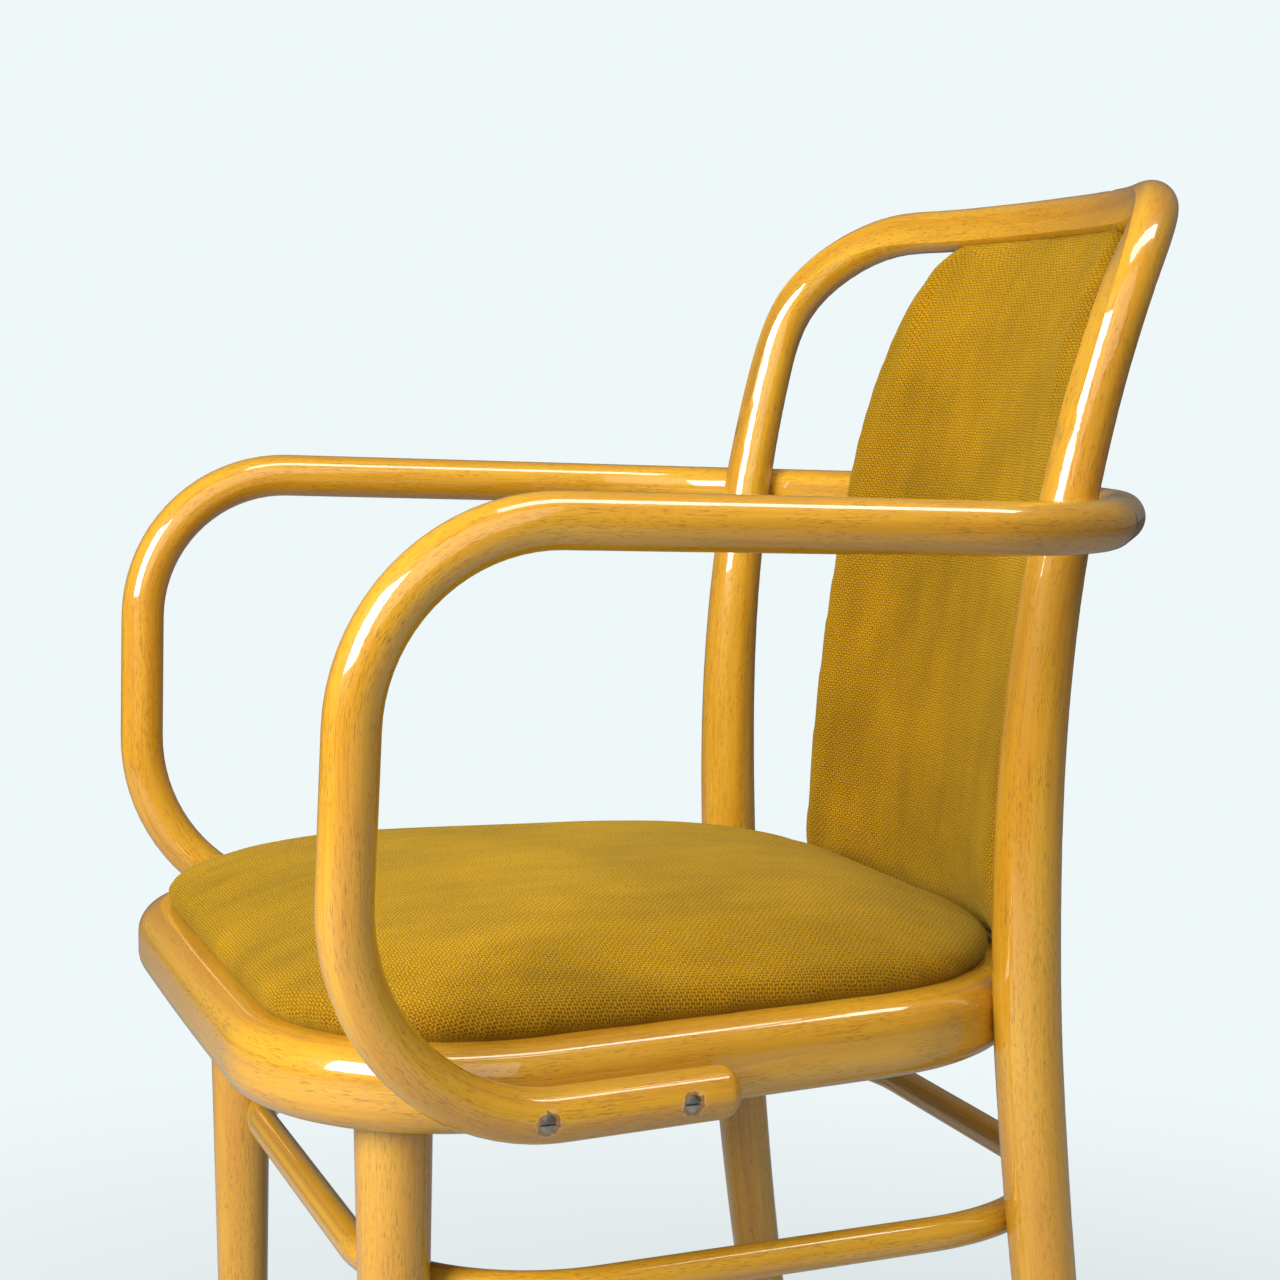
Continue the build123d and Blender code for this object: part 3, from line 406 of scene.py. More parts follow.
def beech_look(tree, grain, light, deep, fleck, strength):
    """Outputs of the beech group in a material."""
    inputs = {"Grain": grain, "Light": four(light), "Deep": four(deep), "Fleck": four(fleck)}
    return placed(tree, "Beech grain", inputs | {"Fleck strength": strength}).outputs


def lacquered_beech(finish, name, wear, chip_and_shade_spots=()):
    """Honey lacquer over beech, with rubs, chipped lacquer round the given points, and painted shade just
    round each of them.
    """
    material, tree, output = fresh_material(name)
    grain = make(tree, "ShaderNodeAttribute", attribute_name="grain").outputs["Vector"]
    place = make(tree, "ShaderNodeTexCoord").outputs["Object"]
    beech = beech_look(tree, grain, finish.light, finish.deep, finish.fleck, 0.45)
    rub = placed(tree, "Rubbed wear", {"Grain": grain, "Place": place, "Amount": wear}).outputs["Mask"]
    colour = mixed(tree, maths(tree, "MULTIPLY", rub, 0.55), beech["Colour"], four(finish.bare))
    roughness = maths(tree, "ADD", beech["Roughness"], maths(tree, "MULTIPLY", rub, 0.3), True)
    height = maths(tree, "SUBTRACT", beech["Height"], maths(tree, "MULTIPLY", rub, 0.6))
    for point in chip_and_shade_spots:
        away = make(tree, "ShaderNodeVectorMath", {0: place, 1: point}, operation="DISTANCE")
        uneven = maths(tree, "SUBTRACT", noise(tree, place, 420.0, 3.0, 0.6), 0.5)
        far = maths(tree, "ADD", away.outputs["Value"], maths(tree, "MULTIPLY", uneven, 0.006))
        chip = ranged(tree, far, 0.0062, 0.0070, 1.0, 0.0)
        # Painted shade: the fleck colour darkens the wood in a ring just round each screw head, where the
        # head meets the wood.
        shade = ranged(tree, far, 0.0052, 0.0060, 1.0, 0.0)
        colour = mixed(tree, maths(tree, "MULTIPLY", chip, 0.3), colour, four(finish.bare))
        colour = mixed(tree, maths(tree, "MULTIPLY", shade, 0.75), colour, four(finish.fleck))
        height = maths(tree, "SUBTRACT", height, maths(tree, "MULTIPLY", chip, 1.2))
    wire_shader(
        tree,
        output,
        {
            "Base Color": colour,
            "Roughness": roughness,
            "Normal": bumped(tree, height, 0.22, 0.0004),
            "Coat Weight": 0.9,
            "Coat Roughness": 0.05,
            "Coat IOR": 1.62,
            "Specular IOR Level": 0.2,
        },
    )
    return material


def bare_wood(finish, name, light, deep):
    """Sanded wood with no lacquer."""
    material, tree, output = fresh_material(name)
    place = make(tree, "ShaderNodeTexCoord").outputs["Object"]
    beech = beech_look(tree, place, light, deep, finish.fleck, 0.3)
    wire_shader(
        tree,
        output,
        {
            "Base Color": beech["Colour"],
            "Roughness": maths(tree, "ADD", beech["Roughness"], 0.35),
            "Normal": bumped(tree, beech["Height"], 0.3, 0.0003),
        },
    )
    return material


def ribbed_cloth(finish, name):
    """Mustard pile with a sheen, and painted shade that darkens the pile where it is seen face-on."""
    material, tree, output = fresh_material(name)
    weave = make(tree, "ShaderNodeAttribute", attribute_name="weave").outputs["Vector"]
    inputs = {
        "Weave": weave,
        "Pile": four(finish.pile),
        "Shade": four(finish.shade),
        "Rib": finish.rib,
        "Loop": finish.loop,
    }
    pile = placed(tree, "Ribbed pile", inputs)
    # Painted shade: the pile is darkened where it is seen face-on and left full at a low angle, standing in
    # for the velvet's sheen.
    low = make(tree, "ShaderNodeLayerWeight", {"Blend": 0.5}).outputs["Facing"]
    facing = (0.82, 0.74, 0.55)
    tints = {channel: ranged(tree, low, 0.1, 0.8, tint, 1.0) for channel, tint in enumerate(facing)}
    nap_and_painted_shade = make(tree, "ShaderNodeCombineColor", tints).outputs[0]
    brushed_and_painted_shade = mixed(tree, 1.0, pile.outputs["Colour"], nap_and_painted_shade, "MULTIPLY")
    wire_shader(
        tree,
        output,
        {
            "Base Color": brushed_and_painted_shade,
            "Roughness": pile.outputs["Roughness"],
            "Normal": bumped(tree, pile.outputs["Height"], 0.75, 0.0006),
            "Sheen Weight": 0.2,
            "Sheen Roughness": 0.38,
            "Sheen Tint": four(finish.sheen),
            "Specular IOR Level": 0.1,
        },
    )
    return material


def plain_finish(name, colour, deep, roughness, metallic, scale, bump):
    """Simple finish whose tone, gloss and surface vary over the piece."""
    material, tree, output = fresh_material(name)
    place = make(tree, "ShaderNodeTexCoord").outputs["Object"]
    fine = noise(tree, place, scale, 4.0, 0.6)
    broad = noise(tree, place, scale * 0.12, 2.0)
    wire_shader(
        tree,
        output,
        {
            "Base Color": mixed(tree, ranged(tree, broad, 0.35, 0.65), four(colour), four(deep)),
            "Roughness": ranged(tree, fine, 0.3, 0.7, roughness * 0.8, roughness * 1.2),
            "Metallic": metallic,
            "Normal": bumped(tree, fine, bump, 0.0002),
        },
    )
    return material


def shade_smooth(mesh, smooth=True):
    """Give all faces of a mesh smooth or flat shading."""
    mesh.polygons.foreach_set("use_smooth", [smooth] * len(mesh.polygons))


def add_object(name, data):
    """New object of the given data in the scene."""
    added = bpy.data.objects.new(name, data)
    bpy.context.scene.collection.objects.link(added)
    return added


def dress(node, material):
    """Give a CAD node its material, smooth shading and crisp edges."""
    thing = NODES[node]
    thing.data.materials.clear()
    thing.data.materials.append(material)
    shade_smooth(thing.data)
    weld = thing.modifiers.new("Weld", "WELD")
    weld.merge_threshold = 0.00001
    split = thing.modifiers.new("Crisp edges", "EDGE_SPLIT")
    split.split_angle = radians(CRISP_ANGLE)


def rounded_route(points, bends, closed=False, steps=14):
    """Points along straight runs whose corners are rounded to the given radii."""
    points = [Vector(point) for point in points]
    count = len(points)
    route = [] if closed else [points[0]]
    corners = range(count) if closed else range(1, count - 1)
    for corner, bend in zip(corners, bends):
        here = points[corner]
        back = (points[corner - 1] - here).normalized()
        onward = (points[(corner + 1) % count] - here).normalized()
        half = back.angle(onward) / 2
        if bend <= 0 or half > pi / 2 - 0.001:
            route.append(here)
            continue
        start = here + back * (bend / tan(half))
        centre = here + (back + onward).normalized() * (bend / sin(half))
        spoke = (start - centre) / bend
        for step in range(steps + 1):
            turn = (pi - 2 * half) * step / steps
            route.append(centre + (spoke * cos(turn) - back * sin(turn)) * bend)
    if not closed:
        route.append(points[-1])
    return route


def lay_grain(node, route, closed=False):
    """Write each point's place along and across a bent rod, as if the rod were straight, for its grain."""
    mesh = NODES[node].data
    spots = np.empty(len(mesh.vertices) * 3)
    mesh.vertices.foreach_get("co", spots)
    spots = spots.reshape(-1, 3)
    if closed:
        route = route + [route[0]]
    path = np.array([tuple(point) for point in route])
    runs = np.diff(path, axis=0)
    lengths = np.linalg.norm(runs, axis=1)
    keep = lengths > 1e-7
    starts, runs, lengths = path[:-1][keep], runs[keep], lengths[keep]
    ways = runs / lengths[:, None]
    travelled = np.concatenate([[0.0], np.cumsum(lengths)])
    side = np.cross(ways[0], (0.0, 0.0, 1.0) if abs(ways[0][2]) < 0.9 else (0.0, 1.0, 0.0))
    sides = []
    for way in ways:
        side = side - way * side.dot(way)
        side = side / np.linalg.norm(side)
        sides.append(side)
    sides = np.array(sides)
    ups = np.cross(ways, sides)
    nearest = np.full(len(spots), np.inf)
    grain = np.zeros((len(spots), 3))
    for run in range(len(starts)):
        offset = spots - starts[run]
        along = np.clip(offset @ ways[run], 0.0, lengths[run])
        gap = offset - along[:, None] * ways[run]
        distance = np.einsum("ij,ij->i", gap, gap)
        better = distance < nearest
        nearest[better] = distance[better]
        grain[better, 0] = travelled[run] + along[better]
        grain[better, 1] = gap[better] @ sides[run]
        grain[better, 2] = gap[better] @ ups[run]
    if closed:
        half = travelled[-1] / 2
        grain[:, 0] = half - np.abs(grain[:, 0] - half)
    layer = mesh.attributes.new("grain", "FLOAT_VECTOR", "POINT")
    layer.data.foreach_set("vector", grain.ravel())


def mirrored(points):
    """Points on the left, then the same points reversed on the right."""
    return list(points) + [(-x, y, z) for x, y, z in reversed(points)]


def ring_half(shape, y):
    """Half width of the seat ring's middle line at a place along its side."""
    share = (y - shape.ring_front) / (shape.ring_rear - shape.ring_front)
    return shape.ring_front_half + (shape.ring_rear_half - shape.ring_front_half) * share


def ring_route(shape, inset=0.0, steps=14):
    """Middle line of the seat ring, set in, at height 0."""
    front, rear = shape.ring_front + inset, shape.ring_rear - inset
    taper = (shape.ring_front_half - shape.ring_rear_half) / (shape.ring_rear - shape.ring_front)
    slant = sqrt(1 + taper**2)
    front_half = ring_half(shape, front) - inset * slant
    rear_half = ring_half(shape, rear) - inset * slant
    corners = [
        (0, front - shape.ring_front_bow, 0),
        (front_half, front, 0),
        (rear_half, rear, 0),
        (-rear_half, rear, 0),
        (-front_half, front, 0),
    ]
    front_bend, rear_bend = shape.ring_front_bend - inset, shape.ring_rear_bend - inset
    return rounded_route(corners, [3.0, front_bend, rear_bend, rear_bend, front_bend], True, steps)


def hoop_route(shape):
    """Middle line of the back hoop: rear legs, posts and top rail."""
    half, straight = shape.post_half, HOOP_STRAIGHT
    corners = mirrored([(half, 0, 0.0), (half, 0, straight), (half, 0, shape.hoop_top)])
    route = rounded_route(corners, [0, shape.hoop_bend, shape.hoop_bend, 0])
    fine = []
    for here, after in zip(route, route[1:]):
        fine += [here.lerp(after, step / 4) for step in range(4)]
    fine.append(route[-1])
    for point in fine:
        low = max(0.0, straight - point.z) / straight
        high = max(0.0, point.z - straight) / (shape.hoop_top - straight)
        inward = point.x / half
        flare = max(0.0, point.z - shape.ring_z) / (shape.hoop_top - shape.ring_z)
        spread = HOOP_FOOT_SPREAD * max(0.0, 1 - point.z / shape.ring_z)
        spread += shape.post_flare * flare**HOOP_FLARE_POWER
        point.y = shape.post_y + HOOP_FOOT_KICK * low**HOOP_KICK_POWER + HOOP_LEAN * high**HOOP_LEAN_POWER
        point.y += shape.rail_bow * (1 - inward**2)
        point.x *= (half + spread) / half
    return fine


def arm_route(shape):
    """Middle line of the arm hoop."""
    half = [
        (ring_half(shape, shape.arm_end) + ARM_BESIDE_RING, shape.arm_end, shape.arm_low_z),
        (ring_half(shape, shape.arm_front) + ARM_BESIDE_RING, shape.arm_front, shape.arm_low_z),
        (shape.arm_half, shape.arm_front, shape.arm_front_z),
        (shape.arm_half, shape.arm_rear - ARM_SIDE_SHORT, shape.arm_rear_z),
        (ARM_REAR_HALF, shape.arm_rear - ARM_REAR_SHORT, shape.arm_rear_z),
    ]
    points = mirrored(half)
    points.insert(len(half), (0, shape.arm_rear + ARM_REAR_BOW, shape.arm_rear_z))
    return rounded_route(points, ARM_BENDS + [ARM_REAR_BEND] + ARM_BENDS[::-1])


class ARMCHAIR_OT_studio(bpy.types.Operator):
    """Set the camera, the soft lights, the floor and the background"""

    bl_idname = "armchair.studio"
    bl_label = "Studio"

    def execute(self, context):
        scene = context.scene
        setup = scene.armchair_studio
        scene.view_settings.view_transform = "Standard"
        camera = add_object("Camera", bpy.data.cameras.new("Camera"))
        camera.data.sensor_width = 36.0
        camera.data.sensor_fit = "HORIZONTAL"
        camera.data.lens = setup.lens
        camera.data.clip_start = 0.05
        yaw, pitch, roll = (radians(angle) for angle in CAMERA_ANGLES)
        ahead = Vector((-cos(yaw) * cos(pitch), sin(yaw) * cos(pitch), sin(pitch)))
        level = Vector((sin(yaw), cos(yaw), 0.0))
        upright = level.cross(ahead)
        right = level * cos(roll) + upright * sin(roll)
        up = upright * cos(roll) - level * sin(roll)
        turn = Matrix((right, up, -ahead)).transposed().to_4x4()
        camera.matrix_world = Matrix.Translation(CAMERA_PLACE) @ turn
        scene.camera = camera
        self.lights(setup)
        self.backdrop(scene, setup)
        return {"FINISHED"}

    def lights(self, setup):
        """Large soft lights: the main one from the chair's front, one overhead and a weak fill."""
        lamps = [
            ("Key", (0.95, -1.8, 1.5), (0, 0, 0.5), (1.2, 1.2), setup.key, (1.0, 0.985, 0.96)),
            ("Top", (0.5, 0.7, 2.5), (0.5, 0.7, 0), (0.5, 1.9), setup.top, (1.0, 1.0, 1.0)),
            ("Fill", (2.3, -0.5, 2.1), (0, 0, 0.5), (2.4, 2.4), setup.fill, (0.96, 0.98, 1.0)),
        ]
        for name, spot, target, size, power, colour in lamps:
            data = bpy.data.lights.new(name, "AREA")
            data.shape = "RECTANGLE"
            data.size, data.size_y = size
            data.energy = power
            data.color = colour
            lamp = add_object(name, data)
            lamp.location = spot
            lamp.rotation_euler = (Vector(target) - Vector(spot)).to_track_quat("-Z", "Y").to_euler()

    def backdrop(self, scene, setup):
        """Pale floor that keeps the chair's shadow near the chair, and a world of the same colour."""
        world = bpy.data.worlds.new("Studio")
        scene.world = world
        world.use_nodes = True
        tree = world.node_tree
        tree.nodes.clear()
        seen = make(tree, "ShaderNodeLightPath").outputs["Is Camera Ray"]
        even = make(tree, "ShaderNodeBackground", {0: (0.95, 0.975, 1.0, 1.0), 1: setup.world})
        shown = make(tree, "ShaderNodeBackground", {0: four(setup.backdrop), 1: 1.0})
        both = make(tree, "ShaderNodeMixShader", {0: seen, 1: even.outputs[0], 2: shown.outputs[0]})
        ending = make(tree, "ShaderNodeOutputWorld")
        tree.links.new(both.outputs[0], ending.inputs["Surface"])
        material, tree, output = fresh_material("Studio floor")
        place = make(tree, "ShaderNodeTexCoord").outputs["Object"]
        speck = noise(tree, place, 40.0, 2.0)
        pale, dull = (0.40, 0.43, 0.44, 1.0), (0.37, 0.40, 0.41, 1.0)
        paint = mixed(tree, ranged(tree, speck, 0.3, 0.7, 0.0, 0.03), pale, dull)
        matte = make(tree, "ShaderNodeBsdfDiffuse", {0: paint})
        glow = make(tree, "ShaderNodeEmission", {0: four(setup.backdrop), 1: 1.0})
        far = make(tree, "ShaderNodeVectorMath", {0: place}, operation="LENGTH").outputs["Value"]
        even = ranged(tree, far, 0.35, 1.3, 0.72, 1.0)
        seen = make(tree, "ShaderNodeLightPath").outputs["Is Camera Ray"]
        share = maths(tree, "MULTIPLY", seen, even)
        floor_mix = make(tree, "ShaderNodeMixShader", {0: share, 1: matte.outputs[0], 2: glow.outputs[0]})
        tree.links.new(floor_mix.outputs[0], output.inputs["Surface"])
        mesh = bpy.data.meshes.new("studio_floor")
        reach = 12.0
        corners = [(-reach, -reach, 0), (reach, -reach, 0), (reach, reach, 0), (-reach, reach, 0)]
        mesh.from_pydata(corners, [], [(0, 1, 2, 3)])
        mesh.materials.append(material)
        floor = add_object("studio_floor", mesh)


class ARMCHAIR_OT_beech(bpy.types.Operator):
    """Give the bent rods, the ring and the legs their lacquered beech, with the grain along each rod"""

    bl_idname = "armchair.beech"
    bl_label = "Beech frame"

    def execute(self, context):
        shape, finish = context.scene.armchair_shape, context.scene.armchair_beech
        beech_group()
        rub_group()
        lift = Vector((0, 0, shape.ring_z))
        lay_grain("seat_ring", [point + lift for point in ring_route(shape)], True)
        lay_grain("back_hoop", hoop_route(shape))
        lay_grain("arm_hoop", arm_route(shape))
        for node in ("front_leg_left", "front_leg_right"):
            low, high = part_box(node)
            middle = (low + high) / 2
            lay_grain(node, [Vector((middle.x, middle.y, low.z)), Vector((middle.x, middle.y, high.z))])
        low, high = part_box("stretcher_hoop")
        front, rear = low.y + STRETCHER_RADIUS, high.y - STRETCHER_RADIUS
        corners = [
            (0, front, STRETCHER_Z),
            (STRETCHER_FRONT_HALF, front, STRETCHER_Z),
            (STRETCHER_REAR_HALF, rear, STRETCHER_Z),
            (-STRETCHER_REAR_HALF, rear, STRETCHER_Z),
            (-STRETCHER_FRONT_HALF, front, STRETCHER_Z),
        ]
        bends = [0, STRETCHER_FRONT_BEND, STRETCHER_REAR_BEND, STRETCHER_REAR_BEND, STRETCHER_FRONT_BEND]
        lay_grain("stretcher_hoop", rounded_route(corners, bends, True), True)
        heads = screw_heads("arm_side_screws") + screw_heads("arm_rear_screws")
        rods = lacquered_beech(finish, "Lacquered beech", 0.45)
        dress("arm_hoop", lacquered_beech(finish, "Lacquered beech, handled", 1.0, heads))
        for node in ("seat_ring", "back_hoop", "front_leg_left", "front_leg_right", "stretcher_hoop"):
            dress(node, rods)
        block = bare_wood(finish, "Bare beech", (0.70, 0.50, 0.26), (0.55, 0.36, 0.16))
        ply = bare_wood(finish, "Plywood", (0.66, 0.50, 0.30), (0.50, 0.34, 0.17))
        for node in ("corner_block_left", "corner_block_right", "back_top_dowels"):
            dress(node, block)
        for node in ("seat_board", "back_board"):
            dress(node, ply)
        return {"FINISHED"}


def screw_heads(node):
    """Centre of each screw's head in a CAD group, where the screw is widest."""
    mesh = NODES[node].data
    spots = np.array([tuple(vertex.co) for vertex in mesh.vertices])
    found = []
    while len(spots):
        near = np.linalg.norm(spots - spots[0], axis=1) < SCREW_APART
        one, spots = spots[near], spots[~near]
        centre = one.mean(axis=0)
        way = np.linalg.svd(one - centre, full_matrices=False)[2][0]
        along = (one - centre) @ way
        across = np.linalg.norm(one - centre - along[:, None] * way, axis=1)
        found.append(Vector(centre + way * along[np.argmax(across)]))
    return found


class ARMCHAIR_OT_fittings(bpy.types.Operator):
    """Give the steel fasteners and the foot glides their finishes"""

    bl_idname = "armchair.fittings"
    bl_label = "Fittings"

    def execute(self, context):
        steel = plain_finish("Dull steel", (0.46, 0.44, 0.40), (0.30, 0.27, 0.22), 0.38, 1.0, 900.0, 0.25)
        glide = plain_finish("Dark glide", (0.03, 0.027, 0.024), (0.05, 0.045, 0.04), 0.55, 0.0, 600.0, 0.2)
        screws = ("arm_side_screws", "arm_rear_screws", "back_arm_screws", "back_foot_screws", "leg_screws")
        for node in screws + ("stretcher_screws", "seat_screws", "post_bolts", "post_washers"):
            dress(node, steel)
        dress("foot_glides", glide)
        return {"FINISHED"}


def mesh_piece(name, vertices, faces, material):
    """New mesh object with outward faces and smooth shading."""
    mesh = bpy.data.meshes.new(name)
    mesh.from_pydata([tuple(vertex) for vertex in vertices], [], faces)
    work = bmesh.new()
    work.from_mesh(mesh)
    bmesh.ops.remove_doubles(work, verts=work.verts, dist=0.00001)
    bmesh.ops.recalc_face_normals(work, faces=work.faces)
    work.to_mesh(mesh)
    work.free()
    mesh.materials.append(material)
    shade_smooth(mesh)
    return add_object(name, mesh)


def layered(rings):
    """Vertices and faces of closed rings of equal length, joined in order and capped at both ends."""
    vertices = [point for ring in rings for point in ring]
    count = len(rings[0])
    faces = []
    for level in range(len(rings) - 1):
        for spot in range(count):
            after = (spot + 1) % count
            low, high = level * count, (level + 1) * count
            faces.append((low + spot, low + after, high + after, high + spot))
    faces.append(tuple(reversed(range(count))))
    faces.append(tuple(range((len(rings) - 1) * count, len(rings) * count)))
    return vertices, faces


def evaluated_mesh(piece, name):
    """Plain mesh of a piece with its modifiers applied."""
    graph = bpy.context.evaluated_depsgraph_get()
    graph.update()
    mesh = bpy.data.meshes.new_from_object(piece.evaluated_get(graph), depsgraph=graph)
    mesh.name = name
    return mesh


def swap_mesh(piece, mesh):
    """Put a plain mesh in a piece and drop its modifiers."""
    piece.modifiers.clear()
    old = piece.data
    piece.data = mesh
    bpy.data.meshes.remove(old)
    shade_smooth(mesh)


def apply_modifier(piece, kind, **settings):
    """Add a modifier with the given settings and make its result plain."""
    modifier = piece.modifiers.new(kind.title(), kind)
    for key, value in settings.items():
        setattr(modifier, key, value)
    swap_mesh(piece, evaluated_mesh(piece, piece.name))


def inflate(piece, voxel, held, pressure, cap):
    """Remesh a pad and let cloth under pressure fill it out; held gives how firmly a point is held."""
    apply_modifier(piece, "REMESH", mode="VOXEL", voxel_size=voxel)
    before = np.array([tuple(vertex.co) for vertex in piece.data.vertices])
    group = piece.vertex_groups.new(name="held")
    for index, spot in enumerate(before):
        group.add([index], held(spot), "REPLACE")
    cloth = piece.modifiers.new("Cloth", "CLOTH")
    cloth.settings.vertex_group_mass = "held"
    cloth.settings.use_pressure = True
    cloth.settings.uniform_pressure_force = pressure
    cloth.settings.tension_stiffness = 20
    cloth.settings.compression_stiffness = 20
    cloth.settings.bending_stiffness = 2.0
    cloth.settings.quality = 6
    cloth.settings.effector_weights.gravity = 0.0
    cloth.point_cache.frame_start = 1
    cloth.point_cache.frame_end = CLOTH_FRAMES
    scene = bpy.context.scene
    for step in range(1, CLOTH_FRAMES + 1):
        scene.frame_set(step)
    mesh = evaluated_mesh(piece, piece.name)
    after = np.array([tuple(vertex.co) for vertex in mesh.vertices])
    moved = after - before
    far = np.linalg.norm(moved, axis=1)
    moved *= np.minimum(1.0, cap / np.maximum(far, 1e-9))[:, None]
    mesh.vertices.foreach_set("co", (before + moved).ravel())
    swap_mesh(piece, mesh)
    scene.frame_set(1)


def soften(piece, passes):
    """Relax small steps left by the remesh, then subdivide once."""
    apply_modifier(piece, "SMOOTH", factor=0.5, iterations=passes)
    apply_modifier(piece, "SUBSURF", levels=1, render_levels=1)


def lay_weave(piece, place):
    """Write each point's place on the flat cloth, from a function of its position."""
    mesh = piece.data
    layer = mesh.attributes.new("weave", "FLOAT_VECTOR", "POINT")
    layer.data.foreach_set("vector", [value for vertex in mesh.vertices for value in place(vertex.co)])


def back_middle(shape, z):
    """Middle of the back board at a height, through its places at the ring, the arm hoop and the rail."""
    rail_z = shape.hoop_top
    low = (shape.back_arm - shape.back_ring) / (shape.arm_rear_z - shape.ring_z)
    high = (shape.back_rail - shape.back_arm) / (rail_z - shape.arm_rear_z)
    bend = (high - low) / (rail_z - shape.ring_z)
    return shape.back_ring + low * (z - shape.ring_z) + bend * (z - shape.ring_z) * (z - shape.arm_rear_z)


def back_bend(shape, x):
    """How far the back bends forward at a distance from its middle."""
    bend = (shape.back_half**2 + shape.back_bow**2) / (2 * shape.back_bow)
    return bend - sqrt(bend**2 - x**2)


class ARMCHAIR_OT_seat_pad(bpy.types.Operator):
    """Make the domed seat pad in its ribbed cover"""

    bl_idname = "armchair.seat_pad"
    bl_label = "Seat pad"

    def execute(self, context):
        shape = context.scene.armchair_shape
        pile_group()
        outline = ring_route(shape, shape.pad_inset - PAD_OVERHANG, 10)
        middle = Vector((0, (shape.ring_front + shape.ring_rear) / 2, 0))
        rim = shape.pad_rim
        levels = [(PAD_TUCK, shape.pad_base), (PAD_TUCK, rim - PAD_LIP)]
        levels += [(0.985, rim - 0.0012), (0.996, rim + 0.0005)]
        for step in range(PAD_STEPS + 1):
            angle = radians(88) * step / PAD_STEPS
            rise = (shape.pad_crown - PAD_SWELL_ROOM) * sin(angle) ** PAD_FULLNESS
            levels.append((cos(angle) ** PAD_FULLNESS, rim + PAD_LIP + rise))
        rings = []
        for shrink, z in levels:
            rings.append([middle + (point - middle) * shrink + Vector((0, 0, z)) for point in outline])
        vertices, faces = layered(rings)
        cloth = ribbed_cloth(context.scene.armchair_cloth, "Ribbed cover")
        pad = mesh_piece("seat_pad", vertices, faces, cloth)
        inflate(pad, 0.005, lambda spot: max(0.0, min(1.0, (rim + 0.016 - spot[2]) / 0.012)), 4.0, 0.006)
        soften(pad, 8)
        reach = (shape.ring_front_half + shape.ring_rear_half) / 2
        walked, heights, spreads = 0.0, [], []
        for (near, high), (far, low) in zip(levels[::-1], levels[-2::-1]):
            walked += sqrt(((far - near) * reach) ** 2 + (high - low) ** 2)
            heights.append(-low)
            spreads.append(max(1.0, (walked + levels[-1][0] * reach) / (far * reach)))

        def place(spot):
            """Unroll the dome outwards from its crown."""
            spread = np.interp(-spot.z, heights, spreads)
            return (spot.x * spread, (spot.y - middle.y) * spread, 0.0)

        lay_weave(pad, place)
        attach(pad, "root")
        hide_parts("seat_cover", "seat_foam")
        return {"FINISHED"}


class ARMCHAIR_OT_back_pad(bpy.types.Operator):
    """Make the thin curved back pad in its ribbed cover"""

    bl_idname = "armchair.back_pad"
    bl_label = "Back pad"

    def execute(self, context):
        shape = context.scene.armchair_shape
        vertices, faces = layered(self.sections(shape))
        pad = mesh_piece("back_pad", vertices, faces, bpy.data.materials["Ribbed cover"])

        def depth(spot):
            """How far a point lies in front of the board's middle."""
            return back_middle(shape, spot[2]) - back_bend(shape, spot[0]) - spot[1]

        inflate(pad, 0.004, lambda spot: 1.0 if depth(spot) < 0.006 else 0.0, 4.0, 0.004)
        soften(pad, 6)

        def place(spot):
            """Height runs along the cloth, and the sides turn back round the edges."""
            turned = max(0.0, 0.014 - depth(spot))
            return (spot.x + (turned if spot.x > 0 else -turned), spot.z, 0.0)

        lay_weave(pad, place)
        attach(pad, "root")
        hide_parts("back_cover", "back_foam", "back_rear_cover")
        return {"FINISHED"}

    def sections(self, shape):
        """Cross-sections of the pad from its bottom to its top."""
        low, high = shape.back_low, shape.back_high
        rings = []
        for level in range(BACK_LEVELS + 1):
            z = low + (high - low) * (1 - cos(pi * level / BACK_LEVELS)) / 2
            rise = max(0.0, z - shape.back_shoulder) / (high + 0.0008 - shape.back_shoulder)
            shoulder = sqrt(max(0.0, 1 - rise**2))
            half = shape.back_top_half + (shape.back_half - shape.back_top_half) * shoulder + BACK_EDGE_ROOM
            end = min(1.0, min(z - low, high - z) / BACK_END_REACH)
            thick = BACK_END_THICK + BACK_SWELL * sin(pi / 2 * end)
            middle = back_middle(shape, z)
            ring = []
            for step in range(BACK_ACROSS + 1):
                x = half * (2 * step / BACK_ACROSS - 1)
                ring.append(Vector((x, middle - back_bend(shape, x) + BACK_REAR, z)))
            for step in range(BACK_ACROSS + 1):
                x = half * cos(pi * step / BACK_ACROSS)
                edge = max(0.0, (abs(x) - (half - BACK_EDGE_ROUND)) / BACK_EDGE_ROUND)
                depth = BACK_EDGE_THICK + (thick - BACK_EDGE_THICK) * sqrt(max(0.0, 1 - edge**2))
                ring.append(Vector((x, middle - back_bend(shape, x) - depth, z)))
            rings.append(ring)
        return rings


class ARMCHAIR_OT_lining(bpy.types.Operator):
    """Make the thin black lining under the seat"""

    bl_idname = "armchair.lining"
    bl_label = "Lining"

    def execute(self, context):
        shape = context.scene.armchair_shape
        low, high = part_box("seat_lining")
        black, grey = (0.018, 0.018, 0.02), (0.035, 0.034, 0.034)
        cloth = plain_finish("Black lining", black, grey, 0.85, 0.0, 1400.0, 0.6)
        outline = ring_route(shape, shape.pad_inset + 0.0018, 10)
        rings = []
        for z in (low.z + 0.0001, high.z - 0.0001):
            rings.append([point + Vector((0, 0, z)) for point in outline])
        vertices, faces = layered(rings)
        lining = mesh_piece("seat_lining_cloth", vertices, faces, cloth)
        pairs = zip(outline[-1:] + outline[:-1], outline)
        area = abs(sum(before.x * here.y - here.x * before.y for before, here in pairs)) / 2
        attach(lining, "root")
        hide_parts("seat_lining")
        return {"FINISHED"}


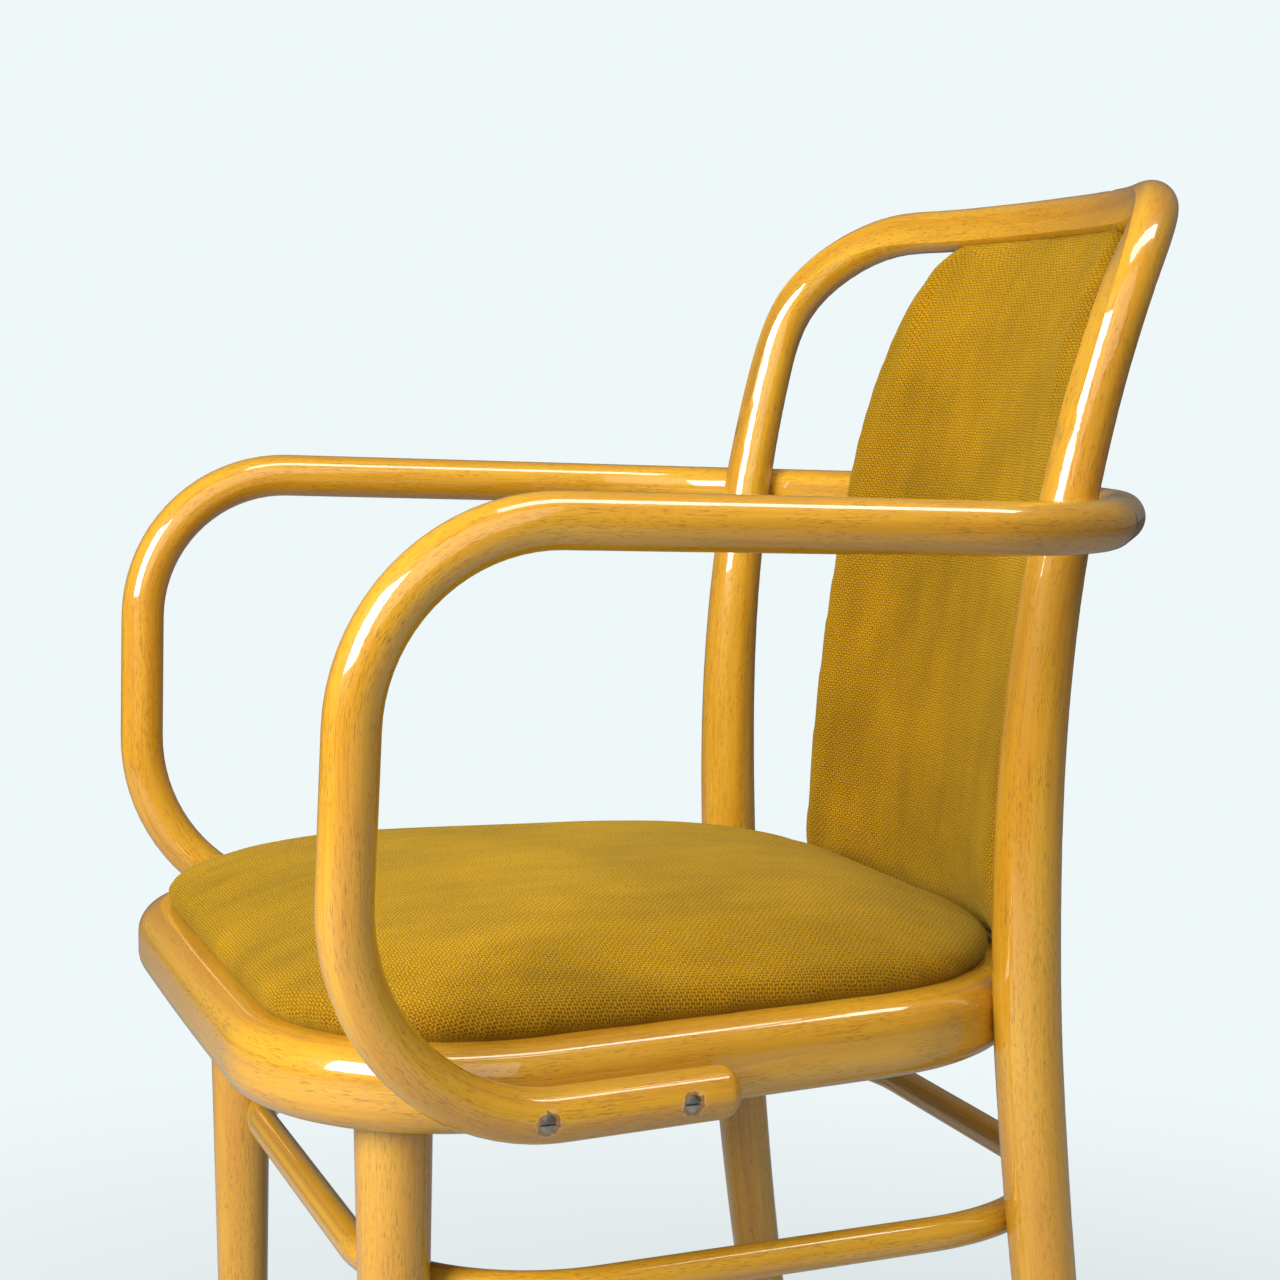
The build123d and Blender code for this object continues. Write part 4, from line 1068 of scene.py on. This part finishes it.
class ARMCHAIR_OT_staples(bpy.types.Operator):
    """Staple the lining to the underside of the seat board"""

    bl_idname = "armchair.staples"
    bl_label = "Lining staples"

    def execute(self, context):
        shape = context.scene.armchair_shape
        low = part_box("seat_lining")[0]
        loop = [point + Vector((0, 0, low.z)) for point in ring_route(shape, 0.028, 10)]
        edges = [(spot, (spot + 1) % len(loop)) for spot in range(len(loop))]
        mesh = bpy.data.meshes.new("lining_staples")
        mesh.from_pydata([tuple(point) for point in loop], edges, [])
        row = add_object("lining_staples", mesh)
        tree = staple_group()
        modifier = row.modifiers.new("Staple row", "NODES")
        modifier.node_group = tree
        values = {"Count": 44, "Length": 0.010, "Wire": 0.0011, "Askew": 0.22, "Seed": 7}
        values["Material"] = bpy.data.materials["Dull steel"]
        for socket in tree.interface.items_tree:
            if socket.name in values:
                modifier[socket.identifier] = values[socket.name]
        swap_mesh(row, evaluated_mesh(row, row.name))
        shade_smooth(row.data, False)
        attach(row, "root")
        return {"FINISHED"}


class ARMCHAIR_PT_panel(bpy.types.Panel):
    """Lists the pieces of the armchair"""

    bl_idname = "ARMCHAIR_PT_panel"
    bl_label = "Bentwood Armchair"
    bl_space_type = "VIEW_3D"
    bl_region_type = "UI"
    bl_category = "Armchair"

    def draw(self, context):
        for operator in OPERATORS:
            self.layout.operator(operator.bl_idname)


GROUPS = {
    "armchair_shape": ChairShape,
    "armchair_beech": BeechFinish,
    "armchair_cloth": ClothFinish,
    "armchair_studio": StudioSetup,
}
OPERATORS = (
    ARMCHAIR_OT_studio,
    ARMCHAIR_OT_beech,
    ARMCHAIR_OT_fittings,
    ARMCHAIR_OT_seat_pad,
    ARMCHAIR_OT_back_pad,
    ARMCHAIR_OT_lining,
    ARMCHAIR_OT_staples,
)


def register():
    """Register the property groups, the operators and the panel."""
    for name, group in GROUPS.items():
        bpy.utils.register_class(group)
        setattr(bpy.types.Scene, name, PointerProperty(type=group))
    for operator in OPERATORS:
        bpy.utils.register_class(operator)
    bpy.utils.register_class(ARMCHAIR_PT_panel)


def unregister():
    """Undo register."""
    bpy.utils.unregister_class(ARMCHAIR_PT_panel)
    for operator in reversed(OPERATORS):
        bpy.utils.unregister_class(operator)
    for name, group in reversed(GROUPS.items()):
        delattr(bpy.types.Scene, name)
        bpy.utils.unregister_class(group)


def main():
    """Dress the chair."""
    register()
    bpy.ops.armchair.studio()
    bpy.ops.armchair.beech()
    bpy.ops.armchair.fittings()
    bpy.ops.armchair.seat_pad()
    bpy.ops.armchair.back_pad()
    bpy.ops.armchair.lining()
    bpy.ops.armchair.staples()


if __name__ == "__main__":
    main()
